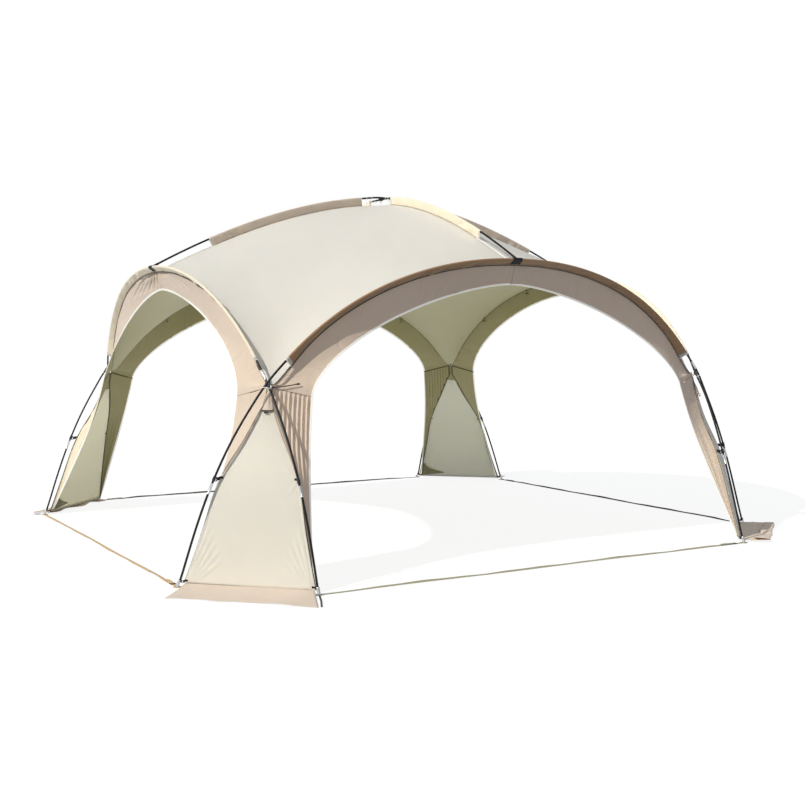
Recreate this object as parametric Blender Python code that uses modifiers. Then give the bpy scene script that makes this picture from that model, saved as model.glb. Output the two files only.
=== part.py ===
# Dome canopy tent: four arch poles stand on the four sides of a square and cross in pairs above
# each corner. Two roof poles cross over the middle. A fabric canopy hangs from sleeves on the poles.
# Metres, +Z up. The origin is on the ground at the middle of the square. The front is -Y.

import math

import bmesh
import bpy
import numpy as np
from mathutils import Vector

# Driving dimensions of the frame
FOOT_HALF = 2.10          # an arch pole's feet stand this far either side of the middle of its side
FOOT_SETBACK = 1.527      # distance of those feet from the tent's middle line
TOP_SETBACK = 1.724       # distance of an arch pole's top from the tent's middle line
ARCH_HEIGHT = 1.812       # height of an arch pole's top
ARCH_BOW = 2.37           # how late an arch leans out on its way up
CENTRE_HEIGHT = 2.346     # height of the roof poles where they cross
ROOF_POWER = 1.733        # how flat the roof poles are over the middle
LEG_LEAN = math.radians(24)   # how far an arch pole leans inwards at its foot
LEG_PULL = 0.315          # length of the curve's handle at the foot
TOP_PULL = 1.714          # length of the curve's handle at the top
POLE_RADIUS = 0.0065
FOOT_RADIUS = 0.0095
FOOT_REST = 0.010         # upright end of a foot
FOOT_HEIGHT = 0.040
FERRULE_RADIUS = 0.0077
FERRULE_LENGTH = 0.065
LEG_FERRULE = 0.555       # height of the upper end of the ferrule on a leg
CROSS_FERRULE = 0.033     # crossing to the start of the ferrule above it, along the pole
CROSS_SHIFT = 0.0075     # how far each of two crossing poles is pushed aside
CROSS_REACH = 0.12        # length over which that push fades
ROOF_POLE_STOP = 0.0130   # arch pole's centre line to the end of a roof pole
ROOF_POLE_LAST = 1.5      # last bend of a roof pole before its end

# Driving dimensions of the canopy
FABRIC = 0.002            # thickness that stands for the cloth
SEW_GAP = 0.0006          # gap kept between pieces that are sewn together
FIT_GAP = 0.0003          # gap kept round a pole
ARCH_DROP = 0.042         # pole to seam on the arches
ROOF_DROP = 0.052         # pole to seam on the roof
CROSS_DROP = 0.032        # crossing to canopy corner
CORNER_SPLIT = 0.006      # border's corner to the corner of the canopy
CORNER_RISE = 0.004       # roof panel's corner above it
PANEL_BELOW = 0.0208      # crossing to the top of a leg panel
SLEEVE_START = 0.17       # crossing to the end of an arch sleeve, along the pole
ROOF_SLEEVE = (0.16, 1.32)    # where a roof sleeve starts and ends, from the middle
WAIST_HALF = 1.352        # half width of an opening at the waist seam
WAIST_HEIGHT = 1.017
EDGE_HEIGHT = 1.663       # top of an opening
EDGE_POWER = 1.547        # roundness of an opening
EDGE_FOOT = 0.005         # opening's edge at the foot, beyond the pole
EDGE_LEAN = (2.10, -0.646, 0.228)   # how far out an opening's edge lies, by powers of its height
EDGE_TUCK = 0.05          # how far the edge is drawn in at the foot
EDGE_TUCK_TOP = 0.5       # height where it is drawn in no more
PANEL_FOOT = 0.020        # height of a leg panel's lower edge
PANEL_TIP = 0.013         # half width of a leg panel at its top

# The seam beside a leg panel: height, distance from the pole, and depth behind the poles
LEG_SEAM = (
    (0.00, 0.038, 0.022),
    (0.30, 0.032, 0.030),
    (0.58, 0.021, 0.042),
    (0.80, 0.045, 0.072),
    (0.95, 0.046, 0.062),
    (1.08, 0.046, 0.039),
)

# Driving dimensions of the skirts, straps and clips
SKIRT_DEPTH = 0.30
SKIRT_FLARE = 0.020       # how much wider a skirt is at its outer edge, on each side
SKIRT_INSIDE = 0.004      # skirt's corner to the leg panel's corner
SKIRT_SEAT = 0.0006       # skirt's edge to the leg panel
SKIRT_REST = 0.0013       # height of a skirt's middle face where it lies on the ground
SKIRT_RISE = 0.0171       # how far it rises from there to the leg panel
STRAP_WIDTH = 0.025
STRAP_THICK = 0.002
STRAP_LIFT = 0.0003
EYE_RADIUS = 0.026        # the strap's round end
EYE_GAP = 0.0004          # foot to eyelet
CLIP_HEIGHT = 0.58        # height of the clips half way down a leg
CLIP_WALL = 0.0024
CLIP_HALF = 0.014         # half length of a clip along the pole
FOOT_CLIP_HEIGHT = 0.033
FOOT_CLIP_HALF = 0.007
TAB_HALF = (0.011, 0.0016)    # half width and half thickness of a clip's tab
FOOT_TAB_HALF = (0.006, 0.0016)
TAB_ON_PANEL = 0.014      # how far a clip's tab reaches onto the panel
CROSS_CLIP = ((-0.0195, -0.016, -0.020), (0.009, 0.016, 0.020))   # inwards, sideways, up
POCKET_HALF = 0.05
POCKET_TAIL = 0.026
POCKET_MOUTH = 0.0052
TIE_HALF = 0.013
TIE_TOP = 0.012
TIE_SEAT = 0.0001         # tie to the height of the roof's top face at the middle

# Stations along an arch pole, from foot to top
LEG_STEPS = 8
BARE_STEPS = 2
SLEEVE_STEPS = 10
ROOF_STEPS = BARE_STEPS + SLEEVE_STEPS

SIDES = ("front", "right", "back", "left")
CORNERS = ("front_left", "front_right", "back_right", "back_left")

for old in list(bpy.data.objects):
    bpy.data.objects.remove(old, do_unlink=True)

tent = bpy.data.collections.new("dome_canopy_tent")
cutters = bpy.data.collections.new("cutters")
bpy.context.scene.collection.children.link(tent)
bpy.context.scene.collection.children.link(cutters)


def material(name, colour, roughness, metallic=0.0):
    made = bpy.data.materials.new(name)
    made.use_nodes = True
    shader = made.node_tree.nodes["Principled BSDF"]
    shader.inputs["Base Color"].default_value = (*colour, 1.0)
    shader.inputs["Roughness"].default_value = roughness
    shader.inputs["Metallic"].default_value = metallic
    return made


IVORY = material("ivory_cloth", (0.76, 0.74, 0.68), 0.85)
BEIGE = material("beige_cloth", (0.80, 0.68, 0.56), 0.85)
TAN = material("tan_cloth", (0.42, 0.30, 0.19), 0.85)
BLACK_STEEL = material("black_painted_steel", (0.02, 0.02, 0.02), 0.4, 0.6)
BLACK_PLASTIC = material("black_plastic", (0.015, 0.015, 0.015), 0.5)
WEBBING = material("webbing", (0.45, 0.33, 0.18), 0.9)


def unit(vectors):
    return vectors / np.linalg.norm(vectors, axis=-1, keepdims=True)


def turned(points, quarters):
    """Points turned about the vertical axis by quarter turns."""
    angle = quarters * math.pi / 2
    c, s = round(math.cos(angle)), round(math.sin(angle))
    return np.asarray(points) @ np.array([[c, s, 0], [-s, c, 0], [0, 0, 1]])


def mirrored(points):
    """Points of the left half of a side mirrored to its right half."""
    return np.asarray(points) * np.array([-1.0, 1.0, 1.0])


def swapped(points):
    """Points mirrored in the vertical plane through a corner, so one side's become the next one's."""
    return np.asarray(points)[..., [1, 0, 2]]


def distances(points):
    """Distances along a polyline to each of its points."""
    steps = np.linalg.norm(np.diff(points, axis=0), axis=1)
    return np.concatenate([[0.0], np.cumsum(steps)])


def sampled(points, at):
    """A polyline read at given distances along it."""
    along = distances(points)
    return np.stack([np.interp(at, along, points[:, axis]) for axis in range(3)], axis=-1)


# The centre line of an arch pole, from its left foot to its top, on the front side

def arch_line(count=1500):
    """Half of an arch: a Bezier curve in the leaning plane of the pole."""
    t = np.linspace(0.0, 1.0, count)[:, None]
    ends = np.array([
        (FOOT_HALF, 0.0),
        (FOOT_HALF - LEG_PULL * math.sin(LEG_LEAN), LEG_PULL * math.cos(LEG_LEAN)),
        (TOP_PULL, ARCH_HEIGHT),
        (0.0, ARCH_HEIGHT),
    ])
    flat = ((1 - t) ** 3 * ends[0] + 3 * (1 - t) ** 2 * t * ends[1]
            + 3 * (1 - t) * t ** 2 * ends[2] + t ** 3 * ends[3])
    depth = FOOT_SETBACK + (TOP_SETBACK - FOOT_SETBACK) * (flat[:, 1] / ARCH_HEIGHT) ** ARCH_BOW
    return np.stack([-flat[:, 0], -depth, flat[:, 1]], axis=-1)


ARCH = arch_line()
ALONG = distances(ARCH)
CROSS_AT = np.interp(0.0, ARCH[:, 0] - ARCH[:, 1], ALONG)
TOP_AT = ALONG[-1]
CROSSING = sampled(ARCH, CROSS_AT)
OUTWARD = np.array([-1.0, -1.0, 0.0]) / math.sqrt(2)
SIDEWAYS = np.array([1.0, -1.0, 0.0]) / math.sqrt(2)

STATIONS = np.concatenate([
    np.linspace(0.0, CROSS_AT, LEG_STEPS + 1)[:-1],
    CROSS_AT + np.linspace(0.0, SLEEVE_START, BARE_STEPS + 1)[:-1],
    np.linspace(CROSS_AT + SLEEVE_START, TOP_AT, SLEEVE_STEPS + 1),
])


def crossing_normal():
    """The direction in which two poles lie over each other at a crossing, pointing out of the tent."""
    tangent = unit(sampled(ARCH, CROSS_AT + 0.01) - sampled(ARCH, CROSS_AT - 0.01))
    normal = unit(np.cross(tangent, swapped(tangent)))
    return normal * np.sign(normal @ OUTWARD)


CROSS_NORMAL = crossing_normal()


def arch_pole_line(over):
    """An arch pole's points, foot to top, pushed out (+1) or in (-1) where it crosses another."""
    points = sampled(ARCH, STATIONS)
    push = CROSS_SHIFT * over * np.exp(-((STATIONS - CROSS_AT) / CROSS_REACH) ** 2)
    return points + push[:, None] * CROSS_NORMAL


def tangents(points):
    """Directions along a polyline, each the mean of the two runs that meet there."""
    runs = unit(np.diff(points, axis=0))
    ends = np.concatenate([runs[:1], runs, runs[-1:]])
    return unit(ends[:-1] + ends[1:])


def arch_tangents(half):
    """Directions at the points of a half arch, level at the top."""
    found = tangents(half)
    found[-1] = (1.0, 0.0, 0.0)
    return found


def hang_directions(half):
    """From the arch pole to the seam: half inwards and half towards the opening."""
    along = arch_tangents(half)
    inward = np.array([0.0, 1.0, 0.0])
    to_opening = unit(np.cross(along, inward))
    to_opening *= np.sign(-to_opening[:, 2:3] + 1e-9)
    hang = unit(to_opening + inward)
    hang -= (hang * along).sum(axis=1, keepdims=True) * along
    return unit(hang)


NOMINAL = sampled(ARCH, STATIONS)
HANG = hang_directions(NOMINAL)


def arch_seam():
    """The seam under an arch pole, from the crossing to the top."""
    points = NOMINAL[LEG_STEPS:] + ARCH_DROP * HANG[LEG_STEPS:]
    corner = CROSSING - CROSS_DROP * OUTWARD + CORNER_SPLIT * SIDEWAYS
    points[0] = corner
    near = NOMINAL[LEG_STEPS + 1] - 0.5 * (CROSS_DROP + ARCH_DROP) * OUTWARD
    points[1] = 0.5 * (near + points[1])
    return points


SEAM = arch_seam()


# The roof poles and the seams under them, from the middle outwards to the front

def roof_height(r):
    return CENTRE_HEIGHT - (CENTRE_HEIGHT - ARCH_HEIGHT) * (r / TOP_SETBACK) ** ROOF_POWER


SEAM_REACH = -SEAM[-1, 1]
RIDGE_AT = np.concatenate([
    [0.0],
    np.linspace(ROOF_SLEEVE[0], ROOF_SLEEVE[1], ROOF_STEPS - 2),
    [0.5 * (ROOF_SLEEVE[1] + SEAM_REACH), SEAM_REACH],
])
RIDGE = np.stack([0 * RIDGE_AT, -RIDGE_AT, roof_height(RIDGE_AT)], axis=-1)


def ridge_seam():
    """The seam under a roof pole, from the middle to the arch seam's top."""
    drop = np.full(len(RIDGE_AT), ROOF_DROP)
    drop[-1] = RIDGE[-1, 2] - SEAM[-1, 2]
    drop[-2] = 0.5 * (drop[-1] + ROOF_DROP)
    normal = np.cross(tangents(RIDGE), [1.0, 0.0, 0.0])
    normal *= np.sign(normal[:, 2:3])
    points = RIDGE - drop[:, None] * normal
    points[:, 0] = 0.0
    points[0, 1] = 0.0
    points[-1] = SEAM[-1]
    return points


RIDGE_SEAM = ridge_seam()


# The openings' edges and the legs, on the left half of the front side

def edge_depth(z):
    """How far out an opening's edge lies at a height."""
    near_foot = EDGE_TUCK * np.clip(1 - z / EDGE_TUCK_TOP, 0, 1) ** 2
    return EDGE_LEAN[0] + EDGE_LEAN[1] * z + EDGE_LEAN[2] * z ** 2 - near_foot


def opening_edge(leg_heights, arch_steps):
    """An opening's edge from the foot up over the waist to the top."""
    share = leg_heights / leg_heights[-1]
    foot = FOOT_SETBACK + EDGE_FOOT
    low_u = foot + (WAIST_HALF - foot) * share
    low_z = leg_heights[0] + (WAIST_HEIGHT - leg_heights[0]) * share
    angle = np.linspace(0.0, math.pi / 2, arch_steps + 1)[1:]
    high_u = WAIST_HALF * np.maximum(np.cos(angle), 0.0) ** (2 / EDGE_POWER)
    high_z = WAIST_HEIGHT + (EDGE_HEIGHT - WAIST_HEIGHT) * np.sin(angle) ** (2 / EDGE_POWER)
    u = np.concatenate([low_u, high_u])
    z = np.concatenate([low_z, high_z])
    return np.stack([-u, -edge_depth(z), z], axis=-1)


PANEL_TOP = CROSSING[2] - PANEL_BELOW
LEG_HEIGHTS = np.linspace(PANEL_FOOT, PANEL_TOP, LEG_STEPS + 1)


def leg_edge():
    """The leg panel's edge beside the pole that belongs to the left side, foot to crossing."""
    pole = np.stack([np.interp(LEG_HEIGHTS, ARCH[:, 2], ARCH[:, axis]) for axis in range(3)], axis=-1)
    height, inset, depth = np.array(LEG_SEAM).T
    out = (pole @ OUTWARD) - np.interp(LEG_HEIGHTS, height, depth)
    side = np.abs(pole @ SIDEWAYS) - np.interp(LEG_HEIGHTS, height, inset)
    side = np.maximum(side, PANEL_TIP)
    up = LEG_HEIGHTS[:, None] * np.array([0.0, 0.0, 1.0])
    return out[:, None] * OUTWARD + side[:, None] * SIDEWAYS + up


LEG_EDGE = leg_edge()


def border_grid():
    """The beige border round the front opening, left half: rows from foot to top, seam to edge."""
    seam = np.concatenate([LEG_EDGE, SEAM])
    edge = opening_edge(LEG_HEIGHTS, len(SEAM))
    return np.stack([seam, 0.5 * (seam + edge), edge], axis=1)


BORDER = border_grid()


def coons(near, far, left, right):
    """A patch between four edge curves: near and far run one way, left and right the other."""
    v = np.linspace(0, 1, len(left))[:, None, None]
    u = np.linspace(0, 1, len(near))[None, :, None]
    ruled = (1 - v) * near[None] + v * far[None] + (1 - u) * left[:, None] + u * right[:, None]
    corners = ((1 - u) * (1 - v) * near[0] + u * (1 - v) * near[-1]
               + (1 - u) * v * far[0] + u * v * far[-1])
    return ruled - corners


def tightened(grid, rounds=50):
    """Cloth pulled taut inside fixed edges."""
    grid = grid.copy()
    for _ in range(rounds):
        inner = (grid[:-2, 1:-1] + grid[2:, 1:-1] + grid[1:-1, :-2] + grid[1:-1, 2:]) / 4
        grid[1:-1, 1:-1] = inner
    return grid


def roof_grid():
    """The roof panel of the front left corner."""
    front_seam = SEAM[::-1].copy()
    corner = CROSSING - CROSS_DROP * OUTWARD + np.array([0.0, 0.0, CORNER_RISE])
    front_seam[-1] = corner
    patch = coons(swapped(RIDGE_SEAM), front_seam, RIDGE_SEAM, swapped(front_seam))
    return tightened(patch)


ROOF = roof_grid()


# Insets that keep sewn pieces just apart

def into(grid_edge, grid_next, seam_along):
    """Directions from a seam into a piece, square to the seam."""
    out = grid_next - grid_edge
    out = out - (out * seam_along).sum(axis=1, keepdims=True) * seam_along
    return unit(out)


SHARPEST = math.radians(35)   # no two pieces of cloth meet at a smaller angle


def inset_for(angle):
    """How far a piece's edge stays from the seam so that two pieces at this angle clear each other."""
    half = np.clip(angle, SHARPEST, math.pi) / 2
    return (SEW_GAP / 2 + FABRIC / 2 * np.cos(half)) / np.sin(half)


def angles(a, b):
    return np.arccos(np.clip((a * b).sum(axis=1), -1, 1))


def seam_insets():
    """Insets of roof, border and sleeve along the arch seam, crossing to top."""
    along = tangents(SEAM)
    roof = into(ROOF[-1, ::-1], ROOF[-2, ::-1], along)
    border = into(BORDER[LEG_STEPS + 1:, 0], BORDER[LEG_STEPS + 1:, 1], along)
    sleeve = into(SEAM, NOMINAL[LEG_STEPS:], along)
    roof_sleeve = angles(roof, sleeve)
    roof_border = angles(roof, border)
    border_sleeve = angles(border, sleeve)
    return (inset_for(np.minimum(roof_sleeve, roof_border)),
            inset_for(np.minimum(roof_border, border_sleeve)),
            inset_for(np.minimum(roof_sleeve, border_sleeve)))


ROOF_INSET, BORDER_INSET, SLEEVE_INSET = seam_insets()


def ridge_insets():
    """Insets of the roof panels and of the roof sleeve along the ridge seam, middle to front."""
    along = tangents(RIDGE_SEAM)
    roof = into(ROOF[:, 0], ROOF[:, 1], along)
    other = mirrored(roof)
    sleeve = into(RIDGE_SEAM, RIDGE, along)
    return (inset_for(np.minimum(angles(roof, other), angles(roof, sleeve))),
            inset_for(angles(roof, sleeve)))


RIDGE_INSET, ROOF_SLEEVE_INSET = ridge_insets()


def leg_insets():
    """Insets of the leg panel and of the border along the leg's edge, foot to crossing."""
    along = tangents(LEG_EDGE)
    panel = into(LEG_EDGE, swapped(LEG_EDGE), along)
    border = into(BORDER[:LEG_STEPS + 1, 0], BORDER[:LEG_STEPS + 1, 1], along)
    return inset_for(angles(panel, border))


LEG_INSET = leg_insets()


def pulled(edge, towards, distance):
    """Edge points moved towards the next row of a piece."""
    return edge + unit(towards - edge) * np.asarray(distance)[:, None]


# Meshes

def add_object(name, mesh, finish, collection=tent):
    made = bpy.data.objects.new(name, mesh)
    made.data.materials.append(finish)
    collection.objects.link(made)
    return made


def lofted(name, rows, closed=False):
    """A sheet of quads through rows of points. Closed rows make a tube."""
    shape = bmesh.new()
    rings = [[shape.verts.new(Vector(point)) for point in row] for row in rows]
    count = len(rings[0])
    for low, high in zip(rings, rings[1:]):
        for i in range(count if closed else count - 1):
            j = (i + 1) % count
            shape.faces.new((low[i], low[j], high[j], high[i]))
    mesh = bpy.data.meshes.new(name)
    shape.to_mesh(mesh)
    shape.free()
    return mesh


def cloth(name, rows, finish, closed=False, offset=0.0, collection=tent):
    """A lofted sheet with the cloth's thickness."""
    made = add_object(name, lofted(name, rows, closed), finish, collection)
    thick = made.modifiers.new("thickness", 'SOLIDIFY')
    thick.thickness = FABRIC
    thick.offset = offset
    thick.use_even_offset = not closed
    made.data.shade_smooth()
    return made


def tube(name, points, finish, radius=POLE_RADIUS, widths=None, collection=tent):
    """A pole through points. Widths are shares of the radius, one for each point."""
    line = bpy.data.curves.new(name, 'CURVE')
    line.dimensions = '3D'
    line.bevel_depth = radius
    line.bevel_resolution = 2
    line.use_fill_caps = True
    spline = line.splines.new('POLY')
    spline.points.add(len(points) - 1)
    for i, point in enumerate(points):
        spline.points[i].co = (*point, 1.0)
        spline.points[i].radius = 1.0 if widths is None else widths[i]
    return add_object(name, line, finish, collection)


def meshed(curve_object):
    """A curve's tube as a mesh with its caps welded, in place of the curve."""
    depsgraph = bpy.context.evaluated_depsgraph_get()
    mesh = bpy.data.meshes.new_from_object(curve_object.evaluated_get(depsgraph))
    shape = bmesh.new()
    shape.from_mesh(mesh)
    bmesh.ops.remove_doubles(shape, verts=shape.verts, dist=0.00001)
    shape.to_mesh(mesh)
    shape.free()
    name = curve_object.name
    finish = curve_object.data.materials[0]
    collection = curve_object.users_collection[0]
    bpy.data.objects.remove(curve_object, do_unlink=True)
    mesh.materials.clear()
    return add_object(name, mesh, finish, collection)


def hidden(cutter):
    cutter.hide_render = True
    cutter.display_type = 'WIRE'
    return cutter


def combine(target, other, operation):
    step = target.modifiers.new(operation.lower() + "_" + other.name, 'BOOLEAN')
    step.operation = operation
    step.solver = 'EXACT'
    step.object = hidden(other)


def block(name, centre, axes, low, high, collection=cutters):
    """A box between two corners given along three axes from a centre."""
    shape = bmesh.new()
    bmesh.ops.create_cube(shape, size=1.0)
    low, high = np.array(low), np.array(high)
    frame = np.array(axes).T
    for vertex in shape.verts:
        local = low + (np.array(vertex.co) + 0.5) * (high - low)
        vertex.co = Vector(np.array(centre) + frame @ local)
    bmesh.ops.recalc_face_normals(shape, faces=shape.faces)
    mesh = bpy.data.meshes.new(name)
    shape.to_mesh(mesh)
    shape.free()
    return add_object(name, mesh, BLACK_PLASTIC, collection)


# Arch poles

def clearing(radius):
    """Radius of an eight-sided bore whose flats clear a pole."""
    return (radius + FIT_GAP) / math.cos(math.pi / 8)


STEP = 0.0006             # length over which a pole's radius changes


def foot_line(half):
    """The pole's points with an upright foot under them."""
    foot = half[0] * np.array([1.0, 1.0, 0.0])
    rise = foot + (0, 0, FOOT_REST)
    lean = unit(half[1] - rise)
    top = rise + lean * FOOT_HEIGHT
    return np.concatenate([[foot, rise, top, top + lean * STEP], half[1:]])


FOOT_POINTS = 3


def over_under(quarter):
    """Front and back poles lie outside at the crossings, left and right poles inside."""
    return 1.0 if quarter % 2 == 0 else -1.0


def add_collar(points, widths, start):
    """A ferrule's collar let into a pole's points, from a distance along them."""
    along = distances(points)
    marks = start + np.array([0.0, STEP, FERRULE_LENGTH - STEP, FERRULE_LENGTH])
    share = FERRULE_RADIUS / POLE_RADIUS
    collar = sampled(points, marks)
    before = along < start
    after = along > start + FERRULE_LENGTH
    points = np.concatenate([points[before], collar, points[after]])
    widths = np.concatenate([widths[before], [1.0, share, share, 1.0], widths[after]])
    return points, widths


def leg_collar_start(points):
    """Distance along a pole to the ferrule on its leg."""
    return np.interp(LEG_FERRULE, points[:, 2], distances(points)) - FERRULE_LENGTH


def half_arch_pole(quarter, crossing_collar):
    """A pole's points and widths from a foot to the top, with its ferrules."""
    points = foot_line(arch_pole_line(over_under(quarter)))
    widths = np.ones(len(points))
    widths[:FOOT_POINTS] = FOOT_RADIUS / POLE_RADIUS
    points, widths = add_collar(points, widths, leg_collar_start(points))
    if crossing_collar:
        points, widths = add_collar(points, widths, CROSS_AT + CROSS_FERRULE)
    return points, widths


def add_arch_pole(quarter):
    left, left_widths = half_arch_pole(quarter, False)
    right, right_widths = half_arch_pole(quarter, True)
    points = np.concatenate([left, mirrored(right)[::-1][1:]])
    widths = np.concatenate([left_widths, right_widths[::-1][1:]])
    return tube(SIDES[quarter] + "_arch_pole", turned(points, quarter), BLACK_STEEL, widths=widths)


# Roof poles

def roof_pole_line(over):
    """A roof pole from end to end, pushed up (+1) or down (-1) where it crosses the other."""
    reach = TOP_SETBACK - ROOF_POLE_STOP
    inner = RIDGE_AT[RIDGE_AT < ROOF_POLE_LAST]
    r = np.concatenate([-inner[::-1], inner[1:]])
    r = np.concatenate([[-reach, -ROOF_POLE_LAST], r, [ROOF_POLE_LAST, reach]])
    push = CROSS_SHIFT * over * np.exp(-(r / CROSS_REACH) ** 2)
    return np.stack([0 * r, r, roof_height(np.abs(r)) + push], axis=-1)


def add_roof_pole(name, quarter, over):
    return tube(name, turned(roof_pole_line(over), quarter), BLACK_STEEL)


# Sleeves: flat cloth loops with the pole in the fold

FOLD_ANGLES = [math.radians(a) for a in (-90, -45, 0, 45, 90)]
FOLD_RADIUS = clearing(POLE_RADIUS)


def loop_rows(poles, along, hang, tails):
    """Rings round a pole that run out to a tail towards the seam."""
    across = np.cross(along, hang)
    rows = []
    for pole, down, side, tail in zip(poles, hang, across, tails):
        row = [pole + FOLD_RADIUS * (math.sin(a) * side - math.cos(a) * down) for a in FOLD_ANGLES]
        row.append(pole + tail * down)
        rows.append(row)
    return rows


def outward_rows(rows):
    """Rings turned so that the tube's faces point out."""
    a, b, c = rows[0][0], rows[0][1], rows[1][0]
    middle = np.mean(rows[0], axis=0)
    if np.cross(b - a, c - a) @ (a - middle) < 0:
        return [row[::-1] for row in rows]
    return rows


def add_arch_sleeve(quarter):
    half = arch_pole_line(over_under(quarter))[LEG_STEPS + BARE_STEPS:]
    along = arch_tangents(half)
    seam = SEAM[BARE_STEPS:]
    hang = seam - half
    reach = np.linalg.norm(hang, axis=1)
    hang = hang - (hang * along).sum(axis=1, keepdims=True) * along
    hang = unit(hang)
    tails = reach - SLEEVE_INSET[BARE_STEPS:] - FABRIC
    rows = loop_rows(half, along, hang, tails)
    other = [mirrored(row) for row in rows[::-1][1:]]
    rows = [turned(row, quarter) for row in rows + other]
    return cloth(SIDES[quarter] + "_arch_sleeve", outward_rows(rows), TAN, closed=True, offset=1.0)


def add_roof_sleeve(quarter):
    over = -over_under(quarter)
    first, last = 1, ROOF_STEPS - 2
    line = roof_pole_line(over)
    line = line[line[:, 1] <= 0][::-1]
    poles = np.stack([np.interp(RIDGE_AT[first:last + 1], -line[:, 1], line[:, a]) for a in range(3)], -1)
    along = tangents(line)[first:last + 1]
    hang = unit(RIDGE_SEAM[first:last + 1] - poles)
    hang = unit(hang - (hang * along).sum(axis=1, keepdims=True) * along)
    reach = np.linalg.norm(RIDGE_SEAM[first:last + 1] - poles, axis=1)
    tails = reach - ROOF_SLEEVE_INSET[first:last + 1] - FABRIC
    rows = [turned(row, quarter) for row in loop_rows(poles, along, hang, tails)]
    return cloth(SIDES[quarter] + "_roof_sleeve", outward_rows(rows), BEIGE, closed=True, offset=1.0)


# Roof panels

def add_roof_panel(quarter):
    grid = ROOF.copy()
    arch = ROOF_INSET[::-1]
    grid[:, 0] = pulled(ROOF[:, 0], ROOF[:, 1], RIDGE_INSET)
    grid[0, :] = pulled(ROOF[0], ROOF[1], RIDGE_INSET)
    grid[:, -1] = pulled(ROOF[:, -1], ROOF[:, -2], arch)
    grid[-1, :] = pulled(ROOF[-1], ROOF[-2], arch)
    for row, column in ((0, 0), (0, -1), (-1, 0), (-1, -1)):
        step_row = 1 if row == 0 else -2
        step_column = 1 if column == 0 else -2
        diagonal = ROOF[step_row, step_column] - ROOF[row, column]
        grid[row, column] = ROOF[row, column] + unit(diagonal) * CORNER_RISE
    return cloth("roof_panel_" + CORNERS[quarter], turned(grid, quarter), IVORY)


# Borders round the openings

def add_border(quarter):
    grid = BORDER.copy()
    inset = np.concatenate([LEG_INSET, BORDER_INSET])
    grid[:, 0] = pulled(BORDER[:, 0], BORDER[:, 1], inset)
    grid[:, 1] = 0.5 * (grid[:, 0] + grid[:, 2])
    whole = np.concatenate([grid, mirrored(grid)[::-1][1:]])
    return cloth(SIDES[quarter] + "_opening_border", turned(whole, quarter), BEIGE)


# Leg panels with their clips

def pole_at_height(z, over):
    """A pole's place and direction at a height on its left leg."""
    line = foot_line(arch_pole_line(over))
    place = np.array([np.interp(z, line[:, 2], line[:, axis]) for axis in range(3)])
    above = np.array([np.interp(z + 0.001, line[:, 2], line[:, axis]) for axis in range(3)])
    return place, unit(above - place)


def add_leg_clip(panel, quarter, near_left_pole, at_foot):
    """A clip round a pole, on a tab from the leg panel's edge: half way down the leg or at its foot."""
    over = over_under(quarter) * (-1.0 if near_left_pole else 1.0)
    height = FOOT_CLIP_HEIGHT if at_foot else CLIP_HEIGHT
    half_length = FOOT_CLIP_HALF if at_foot else CLIP_HALF
    half_tab, half_thick = FOOT_TAB_HALF if at_foot else TAB_HALF
    inner = clearing(FOOT_RADIUS if at_foot else POLE_RADIUS)
    place, along = pole_at_height(height, over)
    edge = np.array([np.interp(height, LEG_HEIGHTS, LEG_EDGE[:, axis]) for axis in range(3)])
    edge = edge - TAB_ON_PANEL * SIDEWAYS
    if near_left_pole:
        place, along = swapped(place), swapped(along)
    else:
        edge = swapped(edge)
    place, along, edge = (turned(p, quarter) for p in (place, along, edge))
    reach = np.linalg.norm(edge - place) + FABRIC / 2
    up = np.array([0.0, 0.0, 1.0]) if at_foot else along
    to_panel = edge - place
    to_panel = unit(to_panel - (to_panel @ up) * up)
    square = np.cross(up, to_panel)
    label = panel.name + ("_left" if near_left_pole else "_right") + ("_foot" if at_foot else "_clip")
    ring = meshed(tube(label + "_ring", [place - half_length * along, place + half_length * along],
                       BLACK_PLASTIC, radius=inner + CLIP_WALL, collection=cutters))
    tab = block(label + "_tab", place, (to_panel, up, square),
                (inner, -half_tab, -half_thick), (reach, half_tab, half_thick))
    bore = meshed(tube(label + "_bore", [place - 2 * half_length * along, place + 2 * half_length * along],
                       BLACK_PLASTIC, radius=inner, collection=cutters))
    combine(ring, tab, 'UNION')
    combine(ring, bore, 'DIFFERENCE')
    combine(panel, ring, 'UNION')


def add_leg_panel(quarter):
    right = LEG_EDGE
    left = swapped(LEG_EDGE)
    steps = np.linspace(0.0, 1.0, 5)
    right_in = pulled(right, left, LEG_INSET)
    left_in = pulled(left, right, LEG_INSET)
    rows = [[(1 - s) * a + s * b for s in steps] for a, b in zip(left_in, right_in)]
    panel = cloth(CORNERS[quarter] + "_leg_panel", turned(rows, quarter), IVORY)
    for near_left_pole in (True, False):
        for at_foot in (True, False):
            add_leg_clip(panel, quarter, near_left_pole, at_foot)
    return panel


# Skirts on the ground outside the legs

def add_skirt(quarter):
    start = LEG_EDGE[0] @ OUTWARD
    inner_half = LEG_EDGE[0] @ SIDEWAYS - SKIRT_INSIDE
    rows = []
    for step in np.linspace(0.0, 1.0, 5):
        out = start + SKIRT_SEAT + step * SKIRT_DEPTH
        half = inner_half + SKIRT_FLARE * step
        height = SKIRT_REST + SKIRT_RISE * (1 - step) ** 3
        rows.append([out * OUTWARD + s * half * SIDEWAYS + np.array([0, 0, height])
                     for s in np.linspace(-1, 1, 7)])
    return cloth(CORNERS[quarter] + "_skirt", turned(rows, quarter), BEIGE)


# Ground straps from foot to foot, with an eyelet round each foot

def circle(centre, radius, count, start=0.0, sweep=2 * math.pi, ends=False):
    share = np.arange(count + (1 if ends else 0)) / count
    angle = start + sweep * share
    return [(centre[0] + radius * math.cos(a), centre[1] + radius * math.sin(a)) for a in angle]


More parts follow.
